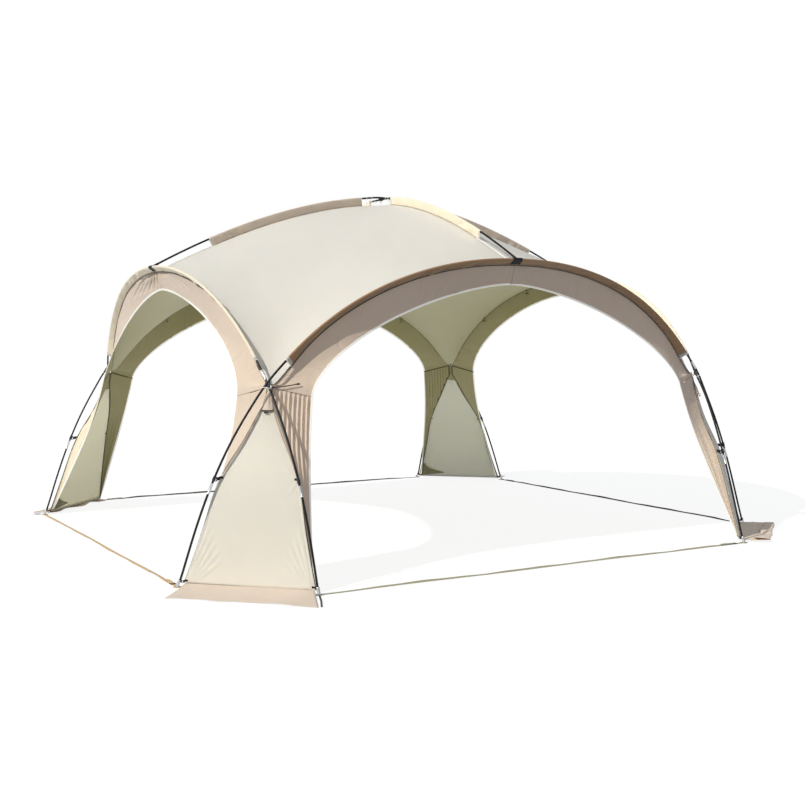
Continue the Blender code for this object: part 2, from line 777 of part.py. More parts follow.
def add_ground_strap(quarter):
    """The strap lies between the feet of the neighbouring sides' poles."""
    left = (-FOOT_SETBACK, -FOOT_HALF)
    right = (FOOT_SETBACK, -FOOT_HALF)
    neck = math.asin(STRAP_WIDTH / 2 / EYE_RADIUS)
    outline = circle(left, EYE_RADIUS, 16, neck, 2 * math.pi - 2 * neck, ends=True)
    outline += circle(right, EYE_RADIUS, 16, math.pi + neck, 2 * math.pi - 2 * neck, ends=True)
    flat = bpy.data.curves.new(SIDES[quarter] + "_ground_strap", 'CURVE')
    flat.dimensions = '2D'
    flat.fill_mode = 'BOTH'
    flat.extrude = STRAP_THICK / 2
    hole = (FOOT_RADIUS + EYE_GAP) / math.cos(math.pi / 12)
    for loop in (outline, circle(left, hole, 12), circle(right, hole, 12)):
        spline = flat.splines.new('POLY')
        spline.use_cyclic_u = True
        spline.points.add(len(loop) - 1)
        for i, (x, y) in enumerate(loop):
            spline.points[i].co = (x, y, 0.0, 1.0)
    made = add_object(flat.name, flat, WEBBING)
    made.location = (0.0, 0.0, STRAP_LIFT + STRAP_THICK / 2)
    made.rotation_euler = (0.0, 0.0, quarter * math.pi / 2)
    bpy.context.view_layer.update()
    return made


# Clips where the poles cross

def add_crossing_clip(quarter):
    """A plastic block that both poles snap into, in front of the canopy's corner."""
    axes = [turned(axis, quarter) for axis in (OUTWARD, SIDEWAYS, np.array([0.0, 0.0, 1.0]))]
    centre = turned(CROSSING, quarter)
    clip = block(CORNERS[quarter] + "_crossing_clip", centre, axes, *CROSS_CLIP, collection=tent)
    for own_side in (True, False):
        over = over_under(quarter) * (1.0 if own_side else -1.0)
        line = arch_pole_line(over)[LEG_STEPS - 1:LEG_STEPS + 2]
        if not own_side:
            line = swapped(line)
        bore = meshed(tube(clip.name + ("_bore_a" if own_side else "_bore_b"), turned(line, quarter),
                           BLACK_PLASTIC, radius=clearing(POLE_RADIUS), collection=cutters))
        combine(clip, bore, 'DIFFERENCE')
    return clip


# Straps over the tops of the arches, where the roof poles end

def add_pole_pocket(quarter):
    half = arch_pole_line(over_under(quarter))
    pole = half[-1]
    along = np.array([1.0, 0.0, 0.0])
    hang = unit(SEAM[-1] - pole)
    hang = unit(hang - (hang @ along) * along)
    side = np.cross(along, hang)
    before = half[-2] - pole
    radius = FOLD_RADIUS + FABRIC + SEW_GAP
    rows = []
    for reach in (-POCKET_HALF, 0.0, POCKET_HALF):
        slope = np.array([reach, 0.0, before[2] * abs(reach) / abs(before[0])])
        centre = pole + slope
        row = [centre + POCKET_TAIL * hang - POCKET_MOUTH * side]
        row += [centre + radius * (math.sin(a) * side - math.cos(a) * hang) for a in FOLD_ANGLES]
        row.append(centre + POCKET_TAIL * hang + POCKET_MOUTH * side)
        rows.append(turned(row, quarter))
    a, b, c = rows[0][3], rows[0][4], rows[1][3]
    if np.cross(b - a, c - a) @ turned(-hang, quarter) < 0:
        rows = [row[::-1] for row in rows]
    return cloth(SIDES[quarter] + "_pole_pocket", rows, BLACK_PLASTIC, offset=1.0)


# The tie that holds the canopy's middle to the crossing roof poles

def add_centre_tie():
    middle = np.array([0.0, 0.0, CENTRE_HEIGHT])
    axes = np.eye(3)
    low = RIDGE_SEAM[0, 2] - CENTRE_HEIGHT + FABRIC / 2 + TIE_SEAT
    tie = block("centre_tie", middle, axes, (-TIE_HALF, -TIE_HALF, low), (TIE_HALF, TIE_HALF, TIE_TOP),
                collection=tent)
    for name, quarter, over in (("centre_bore_a", 0, -1.0), ("centre_bore_b", 1, 1.0)):
        line = turned(roof_pole_line(over), quarter)
        middle_at = len(line) // 2
        bore = meshed(tube(name, line[middle_at - 1:middle_at + 2], BLACK_PLASTIC,
                           radius=clearing(POLE_RADIUS), collection=cutters))
        combine(tie, bore, 'DIFFERENCE')
    return tie


for side in range(4):
    add_arch_pole(side)
    add_arch_sleeve(side)
    add_border(side)
    add_roof_panel(side)
    add_roof_sleeve(side)
    add_leg_panel(side)
    add_skirt(side)
    add_ground_strap(side)
    add_crossing_clip(side)
    add_pole_pocket(side)

add_roof_pole("front_back_roof_pole", 0, -1.0)
add_roof_pole("left_right_roof_pole", 1, 1.0)
add_centre_tie()
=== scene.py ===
import math

import bpy
import numpy as np
from mathutils import Matrix, Vector


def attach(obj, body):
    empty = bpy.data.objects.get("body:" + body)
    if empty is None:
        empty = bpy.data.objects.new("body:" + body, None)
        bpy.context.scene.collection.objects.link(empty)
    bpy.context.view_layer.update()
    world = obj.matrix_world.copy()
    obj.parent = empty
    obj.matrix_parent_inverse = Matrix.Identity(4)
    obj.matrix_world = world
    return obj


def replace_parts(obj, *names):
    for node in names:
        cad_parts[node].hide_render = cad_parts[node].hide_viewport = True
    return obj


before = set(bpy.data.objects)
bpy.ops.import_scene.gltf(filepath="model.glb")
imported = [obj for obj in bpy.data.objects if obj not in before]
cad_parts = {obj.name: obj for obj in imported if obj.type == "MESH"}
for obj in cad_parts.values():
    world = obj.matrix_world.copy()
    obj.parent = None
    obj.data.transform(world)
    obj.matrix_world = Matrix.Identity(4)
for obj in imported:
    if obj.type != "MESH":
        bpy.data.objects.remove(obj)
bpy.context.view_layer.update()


# The camera
# It stands in front of the tent, to its left, at a standing person's eye height, and looks slightly down.
# It was fitted to the corners, feet and pole lines of the photograph.

EYE = np.array([-4.2298, -7.7630, 1.3723])
YAW, PITCH, ROLL = math.radians(29.567), math.radians(-3.309), math.radians(-0.2617)
FOCAL_PX, PICTURE_PX, SENSOR_MM = 1205.76, 805, 36.0

forward = Vector((math.cos(PITCH) * math.sin(YAW), math.cos(PITCH) * math.cos(YAW), math.sin(PITCH)))
level_right = forward.cross(Vector((0, 0, 1))).normalized()
level_up = level_right.cross(forward)
right = math.cos(ROLL) * level_right + math.sin(ROLL) * level_up
up = math.cos(ROLL) * level_up - math.sin(ROLL) * level_right
camera = bpy.data.objects.new("camera", bpy.data.cameras.new("camera"))
bpy.context.scene.collection.objects.link(camera)
camera.data.sensor_width = SENSOR_MM
camera.data.lens = FOCAL_PX / PICTURE_PX * SENSOR_MM
camera.data.clip_end = 200
camera.matrix_world = Matrix((
    (right.x, up.x, -forward.x, EYE[0]),
    (right.y, up.y, -forward.y, EYE[1]),
    (right.z, up.z, -forward.z, EYE[2]),
    (0, 0, 0, 1),
))
bpy.context.scene.camera = camera


# Arch poles
# Four long tent poles of powder-coated steel tube, each made of sections that plug together and bent into an
# arch, one on each side. Bright ferrules show at the leg joints, and each foot ends in a plated steel cap.

SIDES = ("front", "right", "back", "left")
CORNERS = ("front_left", "front_right", "back_right", "back_left")

FOOT_HALF, FOOT_SETBACK = 2.10, 1.527      # m, half of the arch's span and how far out its feet stand
TOP_SETBACK, ARCH_HEIGHT, ARCH_BOW = 1.724, 1.812, 2.37
LEG_LEAN, LEG_PULL, TOP_PULL = math.radians(24.0), 0.315, 1.714
POLE_RADIUS = 0.0065
CROSS_SHIFT, CROSS_REACH = 0.0075, 0.12    # m, how the poles pass over each other
OUTWARD = np.array([-1.0, -1.0, 0.0]) / math.sqrt(2)
SIDEWAYS = np.array([1.0, -1.0, 0.0]) / math.sqrt(2)
UP = np.array([0.0, 0.0, 1.0])


def unit(vectors):
    vectors = np.asarray(vectors, float)
    return vectors / np.maximum(np.linalg.norm(vectors, axis=-1, keepdims=True), 1e-12)


def square_to(along, vectors):
    """What is left of vectors when the part along a direction is taken away."""
    return vectors - (vectors * along).sum(axis=-1, keepdims=True) * along


def turned(points, quarter):
    """Points turned about the middle, from the front to the side with this number."""
    angle = quarter * math.pi / 2
    c, s = round(math.cos(angle)), round(math.sin(angle))
    return np.asarray(points, float) @ np.array([[c, s, 0], [-s, c, 0], [0, 0, 1.0]])


def mirrored(points):
    return np.asarray(points, float) * np.array([-1.0, 1.0, 1.0])


def both_halves(half):
    """A line from the left foot to the top, carried on down to the right foot."""
    return np.concatenate([half, mirrored(half)[::-1][1:]])


def swapped(points):
    """Points mirrored in the upright plane through the front left and back right corners."""
    return np.asarray(points, float)[..., [1, 0, 2]]


def distances(points):
    steps = np.linalg.norm(np.diff(points, axis=0), axis=1)
    return np.concatenate([[0.0], np.cumsum(steps)])


def sampled(points, at):
    along = distances(points)
    return np.stack([np.interp(at, along, points[:, axis]) for axis in range(3)], axis=-1)


def tangents(points):
    return unit(np.gradient(points, axis=0))


def arch_line():
    """An arch pole from its left foot to its top, as a cubic curve that also leans outwards as it rises."""
    t = np.linspace(0.0, 1.0, 1500)[:, None]
    ends = np.array([
        (FOOT_HALF, 0.0),
        (FOOT_HALF - LEG_PULL * math.sin(LEG_LEAN), LEG_PULL * math.cos(LEG_LEAN)),
        (TOP_PULL, ARCH_HEIGHT),
        (0.0, ARCH_HEIGHT),
    ])
    flat = ((1 - t) ** 3 * ends[0] + 3 * (1 - t) ** 2 * t * ends[1]
            + 3 * (1 - t) * t ** 2 * ends[2] + t ** 3 * ends[3])
    depth = FOOT_SETBACK + (TOP_SETBACK - FOOT_SETBACK) * (flat[:, 1] / ARCH_HEIGHT) ** ARCH_BOW
    return np.stack([-flat[:, 0], -depth, flat[:, 1]], axis=-1)


ARCH = arch_line()
ALONG = distances(ARCH)
TOP_AT = ALONG[-1]
CROSS_AT = np.interp(0.0, ARCH[:, 0] - ARCH[:, 1], ALONG)
CROSSING = sampled(ARCH, CROSS_AT)
cross_tangent = unit(sampled(ARCH, CROSS_AT + 0.01) - sampled(ARCH, CROSS_AT - 0.01))
CROSS_NORMAL = unit(np.cross(cross_tangent, swapped(cross_tangent)))
CROSS_NORMAL = CROSS_NORMAL * np.sign(CROSS_NORMAL @ OUTWARD)


def over_under(quarter):
    """Front and back poles pass outside at the crossings, left and right poles inside."""
    return 1.0 if quarter % 2 == 0 else -1.0


def pole_at(at, over):
    """Points of an arch pole at distances from its left foot, up to its top."""
    at = np.asarray(at, float)
    push = CROSS_SHIFT * over * np.exp(-((at - CROSS_AT) / CROSS_REACH) ** 2)
    return sampled(ARCH, at) + push[..., None] * CROSS_NORMAL


def colour(code):
    """An sRGB hex colour as Blender's linear one."""
    values = [int(code[i:i + 2], 16) / 255 for i in (1, 3, 5)]
    return (*[v / 12.92 if v <= 0.04045 else ((v + 0.055) / 1.055) ** 2.4 for v in values], 1.0)


def new_material(name):
    made = bpy.data.materials.new(name)
    made.use_nodes = True
    return made


def add_node(material, kind, settings=None, **inputs):
    """A node of a material, with its settings. An input is a value, or another node's output."""
    node = material.node_tree.nodes.new(kind)
    for key, value in (settings or {}).items():
        setattr(node, key, value)
    for key, value in inputs.items():
        socket = node.inputs[int(key[1:]) if key[1:].isdigit() else key.replace("_", " ")]
        if isinstance(value, bpy.types.NodeSocket):
            material.node_tree.links.new(value, socket)
        else:
            socket.default_value = value
    return node


def dress(material, **inputs):
    """Values and links for the material's own shader."""
    shader = material.node_tree.nodes["Principled BSDF"]
    for key, value in inputs.items():
        socket = shader.inputs[key.replace("_", " ")]
        if isinstance(value, bpy.types.NodeSocket):
            material.node_tree.links.new(value, socket)
        else:
            socket.default_value = value
    return material


def hard_skin(name, dark, light, fine, broad, bump, **shader):
    """A hard surface: a fine grain that catches the light, and wear in its tone. fine and broad are the
    scale and detail of the two patterns, and bump is the grain's strength and depth in metres."""
    made = new_material(name)
    place = add_node(made, "ShaderNodeTexCoord").outputs["Object"]
    grain = add_node(made, "ShaderNodeTexNoise", Vector=place, Scale=fine[0], Detail=fine[1]).outputs["Fac"]
    wear = add_node(made, "ShaderNodeTexNoise", Vector=place, Scale=broad[0], Detail=broad[1]).outputs["Fac"]
    relief = add_node(made, "ShaderNodeBump", Strength=bump[0], Distance=bump[1], Height=grain)
    tone = add_node(made, "ShaderNodeMix", {"data_type": "RGBA"}, Factor=wear,
                    _6=colour(dark), _7=colour(light)).outputs[2]
    return dress(made, Base_Color=tone, Normal=relief.outputs["Normal"], **shader)


# powder-coated steel tube: a satin black skin with the coat's fine orange peel, about 1 mm across
powder_coat = hard_skin("powder_coated_steel_black", "#0D0D0F", "#1A1B1D", (900.0, 2.0), (14.0, 4.0),
                        (0.15, 0.0004), Roughness=0.42, Specular_IOR_Level=0.3)
# zinc-plated steel ferrules: bright, with faint marks about 2 mm apart from the swaging
bright_steel = hard_skin("zinc_plated_steel", "#C4C7CA", "#ECEDEF", (420.0, 3.0), (420.0, 3.0),
                         (0.10, 0.0003), Metallic=1.0, Roughness=0.38)


def deselect():
    if bpy.context.object and bpy.context.object.mode != "OBJECT":
        bpy.ops.object.mode_set(mode="OBJECT")
    bpy.ops.object.select_all(action="DESELECT")


def activate(piece):
    deselect()
    piece.select_set(True)
    bpy.context.view_layer.objects.active = piece


def applied(piece):
    """The piece with its modifiers applied and its place in its mesh."""
    activate(piece)
    for step in list(piece.modifiers):
        bpy.ops.object.modifier_apply(modifier=step.name)
    bpy.ops.object.transform_apply(location=True, rotation=True, scale=True)
    return piece


def modified(piece, *steps):
    """The piece with modifiers, each a kind and its settings, applied one after another."""
    for kind, settings in steps:
        step = piece.modifiers.new(kind.lower(), kind)
        for key, value in settings.items():
            setattr(step, key, value)
    return applied(piece)


def welded(threshold, close=0):
    """The active piece with its doubles merged, holes of up to so many sides closed and faces outwards."""
    bpy.ops.object.mode_set(mode="EDIT")
    bpy.ops.mesh.select_all(action="SELECT")
    bpy.ops.mesh.remove_doubles(threshold=threshold)
    if close:
        bpy.ops.mesh.fill_holes(sides=close)
    bpy.ops.mesh.normals_make_consistent(inside=False)
    bpy.ops.object.mode_set(mode="OBJECT")


def finished(piece, slot, *materials):
    """Rides on the tent, with its materials; slot is not used."""
    if materials:
        piece.data.materials.clear()
        for one in materials:
            piece.data.materials.append(one)
    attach(piece, "root")
    return piece


def tube(name, points, radius, sides=12, widths=None, cyclic=False):
    """A round tube through points, drawn as a curve with a bevel and made a mesh."""
    deselect()
    bpy.ops.curve.primitive_bezier_curve_add()
    made = bpy.context.object
    made.name = made.data.name = name
    line = made.data
    line.dimensions = "3D"
    line.bevel_depth = radius
    line.bevel_resolution = sides // 2 - 2
    line.use_fill_caps = not cyclic
    line.splines.clear()
    spline = line.splines.new("POLY")
    spline.points.add(len(points) - 1)
    spline.use_cyclic_u = cyclic
    for i, point in enumerate(points):
        spline.points[i].co = (*point, 1.0)
        spline.points[i].radius = 1.0 if widths is None else widths[i]
    bpy.ops.object.convert(target="MESH")
    welded(1e-5)
    bpy.ops.object.shade_smooth_by_angle(angle=math.radians(40))
    return made


def joined(name, pieces):
    """Several pieces as one mesh."""
    activate(pieces[0])
    for piece in pieces:
        piece.select_set(True)
    bpy.ops.object.join()
    made = bpy.context.object
    made.name = made.data.name = name
    return made


FERRULE_RADIUS, FERRULE_LENGTH = 0.0077, 0.065
LEG_FERRULE = 0.555          # m, height of a leg ferrule's upper end
CROSS_FERRULE = 0.033        # m, from a crossing to the ferrule above it, on each pole's right half
FOOT_RADIUS = 0.0095


def ferrule(start, over, is_right):
    """The line and widths of a bright collar round the pole, with a rolled rim at each end."""
    rim = np.array([0.0, 0.0012, 0.004, 0.0052])
    points = pole_at(start + np.concatenate([rim, FERRULE_LENGTH - rim[::-1]]), over)
    share = FERRULE_RADIUS / POLE_RADIUS
    widths = np.array([1.0, share * 1.05, share * 1.05, share])
    return mirrored(points) if is_right else points, 1.002 * np.concatenate([widths, widths[::-1]])


leg_ferrule_at = np.interp(LEG_FERRULE, ARCH[:, 2], ALONG) - FERRULE_LENGTH
FERRULES = ((False, leg_ferrule_at), (True, leg_ferrule_at), (True, CROSS_AT + CROSS_FERRULE))
FOOT_SOLE = 0.010            # m, a foot cap's part that stands upright on the ground
# m above the ground and share of the foot cap's radius
FOOT_PROFILE = ((0.0, 0.80), (0.002, 0.98), (0.010, 1.0), (0.012, 0.93), (0.030, 0.93), (0.034, 1.0),
                (0.038, 1.0), (0.042, 0.74))

for quarter, side in enumerate(SIDES):
    over = over_under(quarter)
    line = both_halves(pole_at(np.linspace(0.03, TOP_AT, 140), over))
    pole = tube(side + "_pole", turned(line, quarter), POLE_RADIUS)
    finished(pole, "poles", powder_coat)
    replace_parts(pole, side + "_arch_pole")
    collars = []
    for is_right, start in FERRULES:
        points, widths = ferrule(start, over, is_right)
        collars.append(tube("collar", turned(points, quarter), POLE_RADIUS, 16, widths))
    finished(joined(side + "_pole_ferrules", collars), "poles", bright_steel)
    feet = []
    for sign in (-1.0, 1.0):
        foot = np.array([sign * FOOT_HALF, -FOOT_SETBACK, 0.0])
        lean = unit(pole_at(0.05, over) - pole_at(0.0, over)) * (-sign, 1.0, 1.0)
        sole = [foot + lean * (0, 0, m) for m, _ in FOOT_PROFILE if m <= FOOT_SOLE]
        shaft = [foot + FOOT_SOLE * UP + lean * (m - FOOT_SOLE) for m, _ in FOOT_PROFILE if m > FOOT_SOLE]
        widths = [w for _, w in FOOT_PROFILE]
        feet.append(tube("foot", turned(sole + shaft, quarter), FOOT_RADIUS, 16, widths))
    finished(joined(side + "_pole_feet", feet), "poles", bright_steel)


# Roof poles
# Two more poles of the same tube cross over the roof's middle and end in strap pockets on the arches.
# The front-to-back one passes under the other, and a plastic tie holds both to the canopy's middle.

CENTRE_HEIGHT, ROOF_POWER = 2.346, 1.733
ROOF_POLE_STOP = 0.0130


def roof_height(r):
    return CENTRE_HEIGHT - (CENTRE_HEIGHT - ARCH_HEIGHT) * (np.abs(r) / TOP_SETBACK) ** ROOF_POWER


def roof_pole_at(r, over):
    """Points of the front-to-back roof pole at distances from the middle, negative towards the front."""
    r = np.asarray(r, float)
    push = CROSS_SHIFT * over * np.exp(-(r / CROSS_REACH) ** 2)
    return np.stack([0 * r, r, roof_height(r) + push], axis=-1)


reach = TOP_SETBACK - ROOF_POLE_STOP
for name, quarter, over in (("front_back_roof_pole", 0, -1.0), ("left_right_roof_pole", 1, 1.0)):
    line = turned(roof_pole_at(np.linspace(-reach, reach, 161), over), quarter)
    pole = tube(name + "_tube", line, POLE_RADIUS)
    finished(pole, "poles", powder_coat)
    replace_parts(pole, name)


# Ground straps
# Flat polyester webbing runs along the ground from foot to foot on each side and keeps the arches from
# spreading. A steel eyelet in each rounded end takes the pole's foot, and a ladder-lock buckle sets its
# length. A doubled loop for a ground peg lies out from one foot.

STRAP_WIDTH, STRAP_THICK, STRAP_HEIGHT = 0.025, 0.0020, 0.0013
EYE_RADIUS, EYE_HOLE = 0.026, 0.0099
RIB, CORD = 0.0032, 0.0063   # m; real ribs are 1.6 mm apart, drawn coarser so that they show


def webbing(name, dark, light, sheen=0.15):
    """Flat woven strap: ribs across it and thicker cords along it, on its own UV map."""
    made = new_material(name)
    place = add_node(made, "ShaderNodeTexCoord").outputs["UV"]
    ribs = add_node(made, "ShaderNodeTexWave", {"bands_direction": "Y"}, Vector=place,
                    Scale=math.pi / 10 / RIB, Distortion=0.4).outputs["Fac"]
    cords = add_node(made, "ShaderNodeTexWave", {"bands_direction": "X"}, Vector=place,
                     Scale=math.pi / 10 / CORD).outputs["Fac"]
    add_up = {"operation": "MULTIPLY_ADD"}
    weave = add_node(made, "ShaderNodeMath", add_up, _0=ribs, _1=0.6, _2=cords).outputs[0]
    dust = add_node(made, "ShaderNodeTexNoise", Vector=place, Scale=22.0, Detail=4.0).outputs["Fac"]
    tone = add_node(made, "ShaderNodeMath", add_up, _0=weave, _1=0.3, _2=dust).outputs[0]
    mixed = add_node(made, "ShaderNodeMix", {"data_type": "RGBA"}, Factor=tone,
                     _6=colour(dark), _7=colour(light)).outputs[2]
    bump = add_node(made, "ShaderNodeBump", Strength=0.6, Distance=0.0006, Height=weave)
    return dress(made, Base_Color=mixed, Roughness=0.72, Sheen_Weight=sheen, Specular_IOR_Level=0.3,
                 Normal=bump.outputs["Normal"])


# tan webbing, and copies of the same webbing drawn khaki and near-black: painted shade for the straps and peg
# loops in shade
tan_webbing = webbing("polyester_webbing_tan", "#C59B64", "#EDCC9B")
khaki_shade_webbing = webbing("webbing_khaki_painted_shade", "#8B866B", "#B5AF92")
dark_shade_webbing = webbing("webbing_dark_olive_painted_shade", "#23261C", "#383C2E")
black_webbing = webbing("polyester_webbing_black", "#0B0B0C", "#18191B", sheen=0.02)


# glass-filled nylon mouldings: half matt black with a faint leathery grain about 1 mm across, rubbed paler
GRAIN, RUBBED, GRAIN_BUMP = (1100.0, 3.0), (60.0, 4.0), (0.20, 0.0003)
moulded_nylon = hard_skin("moulded_nylon_black", "#121314", "#27282A", GRAIN, RUBBED, GRAIN_BUMP,
                          Roughness=0.5)


def spread_uv(mesh, grid, closed):
    """A UV map in metres that follows the sheet's own rows and columns."""
    rows, columns = grid.shape[:2]
    across = np.linalg.norm(np.diff(grid, axis=1), axis=2).mean(axis=0)
    u = np.concatenate([[0.0], np.cumsum(across)])
    u = np.concatenate([u, [u[-1] + across.mean()]])
    v = np.concatenate([[0.0], np.cumsum(np.linalg.norm(np.diff(grid, axis=0), axis=2).mean(axis=1))])
    layer = mesh.uv_layers.new(name="UVMap")
    wide = columns if closed else columns - 1
    values = []
    for row in range(rows - 1):
        for column in range(wide):
            values += [(u[column], v[row]), (u[column], v[row + 1]),
                       (u[column + 1], v[row + 1]), (u[column + 1], v[row])]
    layer.data.foreach_set("uv", np.array(values, np.float32).ravel())


def sheet_mesh(name, grid, closed=False):
    rows, columns = grid.shape[:2]
    wide = columns if closed else columns - 1
    faces = []
    for row in range(rows - 1):
        for column in range(wide):
            after = (column + 1) % columns
            faces.append((row * columns + column, (row + 1) * columns + column,
                          (row + 1) * columns + after, row * columns + after))
    mesh = bpy.data.meshes.new(name)
    mesh.from_pydata([tuple(p) for p in grid.reshape(-1, 3)], [], faces)
    spread_uv(mesh, grid, closed)
    made = bpy.data.objects.new(name, mesh)
    bpy.context.scene.collection.objects.link(made)
    made.data.shade_smooth()
    return made


# a strip's section with its edges rounded off, in shares of half its width and thickness
STRIP_RING = [(-1.0, -0.3), (-0.9, -1.0), (0.9, -1.0), (1.0, -0.3),
              (1.0, 0.3), (0.9, 1.0), (-0.9, 1.0), (-1.0, 0.3)]


def strip(name, points, face, width, thickness):
    """A flat strip along points. face says where its flat side looks and width how wide it is, at each point
    or at all of them."""
    points = np.asarray(points, float)
    along = tangents(points)
    face = unit(square_to(along, np.broadcast_to(np.asarray(face, float), points.shape)))
    across = np.cross(along, face)
    ring = np.array(STRIP_RING)
    width = np.broadcast_to(width, (len(points),))[:, None, None]
    grid = (points[:, None] + ring[None, :, :1] * width / 2 * across[:, None]
            + ring[None, :, 1:] * thickness / 2 * face[:, None])
    made = sheet_mesh(name, grid, closed=True)
    activate(made)
    welded(1e-6, close=len(STRIP_RING))
    bpy.ops.object.shade_smooth_by_angle(angle=math.radians(50))
    return made


def placed(piece, origin, along_x, along_y):
    """A piece made at the origin, put where it belongs, with its place in its mesh."""
    x = unit(along_x)
    y = unit(square_to(x, np.asarray(along_y)))
    z = np.cross(x, y)
    activate(piece)
    piece.matrix_world = Matrix([[x[i], y[i], z[i], origin[i]] for i in range(3)] + [[0, 0, 0, 1]])
    bpy.ops.object.transform_apply(location=True, rotation=True, scale=True)
    return piece


def copied(piece):
    activate(piece)
    bpy.ops.object.duplicate(linked=False)
    return bpy.context.object


def eyelet():
    """A rolled steel ring, turned from its profile by a spin round the foot."""
    deselect()
    bpy.ops.mesh.primitive_circle_add(vertices=10, radius=0.0016, location=(EYE_HOLE + 0.0032, 0, 0),
                                      rotation=(math.pi / 2, 0, 0))
    ring = bpy.context.object
    bpy.ops.object.mode_set(mode="EDIT")
    bpy.ops.mesh.select_all(action="SELECT")
    bpy.ops.transform.resize(value=(2.0, 1.0, 1.0))
    bpy.ops.mesh.spin(steps=40, angle=2 * math.pi, center=(0, 0, 0), axis=(0, 0, 1))
    welded(1e-5)
    bpy.ops.object.shade_smooth()
    return applied(ring)


def ladder_lock():
    """A moulded frame with two windows, which the webbing threads through."""
    deselect()
    bpy.ops.mesh.primitive_plane_add(size=1, location=(0, 0, 0))
    frame_piece = bpy.context.object
    frame_piece.scale = (0.030, 0.032, 1)
    bpy.ops.object.transform_apply(scale=True)
    bpy.ops.object.mode_set(mode="EDIT")
    bpy.ops.mesh.select_all(action="SELECT")
    bpy.ops.mesh.bisect(plane_co=(0.002, 0, 0), plane_no=(1, 0, 0))
    bpy.ops.mesh.select_all(action="SELECT")
    bpy.ops.mesh.inset(thickness=0.0034, use_individual=True)
    bpy.ops.mesh.delete(type="FACE")
    bpy.ops.object.mode_set(mode="OBJECT")
    modified(frame_piece, ("SOLIDIFY", {"thickness": 0.0036, "offset": 0.0}),
             ("BEVEL", {"width": 0.0009, "segments": 3, "limit_method": "ANGLE"}))
    bpy.ops.object.shade_smooth_by_angle(angle=math.radians(50))
    return frame_piece


last_angle = math.pi - math.asin(STRAP_WIDTH / 2 / EYE_RADIUS)
round_end = FOOT_SETBACK + EYE_RADIUS * np.cos(np.linspace(0.10, last_angle, 24))
half_run = np.concatenate([round_end, np.linspace(round_end[-1], 0, 60)[1:]])
strap_x = np.concatenate([-half_run, half_run[::-1][1:]])
from_foot = np.abs(np.abs(strap_x) - FOOT_SETBACK)
strap_width = 2 * np.sqrt(np.maximum(EYE_RADIUS ** 2 - from_foot ** 2, 1e-8))
strap_width = np.maximum(strap_width, np.where(np.abs(strap_x) < FOOT_SETBACK, STRAP_WIDTH, 0.0))

ring_pattern, lock_pattern = eyelet(), ladder_lock()
BUCKLE_IN, TAIL_START, TAIL_END = 0.085, 0.078, 0.20   # m, from the strap's right foot
TAIL_THICK = 0.0016
PEG_HEADING, PEG_START = unit(np.array([-0.38, -0.925, 0.0])), 0.030
PEG_WIDTH, PEG_THICK = 0.010, 0.0014
# each side's webbing, how far it is rolled over in radians, and its peg loop's length in metres
# the front strap's khaki and the right and back straps' dark olive are painted shade
STRAPS = (("front", khaki_shade_webbing, -0.12, 0.29), ("right", dark_shade_webbing, 0.20, 0.10),
          ("back", dark_shade_webbing, 0.30, 0.10), ("left", tan_webbing, 0.10, 0.08))
for quarter, (side, material, twist, peg_length) in enumerate(STRAPS):
    inside = np.clip((FOOT_SETBACK - EYE_RADIUS - 0.08 - np.abs(strap_x)) / 0.25, 0, 1)
    inside = inside ** 2 * (3 - 2 * inside)
    roll = inside * (twist + 0.08 * np.sin(strap_x * 9 + quarter) + 0.04 * np.sin(strap_x * 23))
    lift = np.abs(np.sin(roll)) * STRAP_WIDTH / 2 + 0.0012 * (1 + np.sin(strap_x * 5 + quarter))
    sway = -FOOT_HALF + 0.0015 * inside * np.sin(strap_x * 3 + quarter)
    line = np.stack([strap_x, sway, STRAP_HEIGHT + inside * (0.0005 + lift)], axis=-1)
    face = np.stack([0 * roll, np.sin(roll), np.cos(roll)], axis=-1)
    line, face = turned(line, quarter), turned(face, quarter)
    belt = finished(strip(side + "_strap", line, face, strap_width, STRAP_THICK), "webbing", material)
    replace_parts(belt, side + "_ground_strap")
    rings = [placed(copied(ring_pattern), turned((sign * FOOT_SETBACK, -FOOT_HALF, STRAP_HEIGHT), quarter),
                    (1, 0, 0), (0, 1, 0)) for sign in (-1, 1)]
    finished(joined(side + "_strap_eyelets", rings), "poles", bright_steel)
    lock = placed(copied(lock_pattern), turned((FOOT_SETBACK - BUCKLE_IN, -FOOT_HALF, 0.0046), quarter),
                  turned((1, 0, 0), quarter), turned((0, 1, 0), quarter))
    lock.name = lock.data.name = side + "_strap_buckle"
    finished(lock, "clips", moulded_nylon)
    tail_x = np.linspace(FOOT_SETBACK - TAIL_START, FOOT_SETBACK - TAIL_END, 20)
    tail_z = 0.0052 + 0.004 * np.sin((tail_x - tail_x[0]) * 20) ** 2
    tail = np.stack([tail_x, 0 * tail_x - FOOT_HALF + 0.002, tail_z], axis=-1)
    tail = strip(side + "_strap_tail", turned(tail, quarter), UP, STRAP_WIDTH - 0.001, TAIL_THICK)
    finished(tail, "webbing", material)
    share = np.linspace(0, 1, 40)[:, None]
    foot = np.array([-FOOT_SETBACK, -FOOT_HALF, 0.0])
    there = foot + (PEG_START + share * (peg_length - PEG_START)) * PEG_HEADING
    there = there + 0.0025 * np.sin(share * 4) * np.cross(UP, PEG_HEADING)
    there = there + (0.0040 + 0.0016 * np.cos(share * 9)) * UP
    peg_loop = np.concatenate([there, there[::-1] + 0.0026 * (1 + np.sin(share * math.pi)) * UP])
    peg_loop = strip(side + "_peg_strap", turned(peg_loop, quarter), UP, PEG_WIDTH, PEG_THICK)
    # the peg loops' dark olive is painted shade
    finished(peg_loop, "webbing", dark_shade_webbing)
for pattern in (ring_pattern, lock_pattern):
    bpy.data.objects.remove(pattern)


# Seam lines of the canopy
# The canopy hangs a hand's breadth under the poles. Its seams run below each arch pole and roof pole and
# down the legs, and the openings' edges are cut in one sweep from foot to foot.

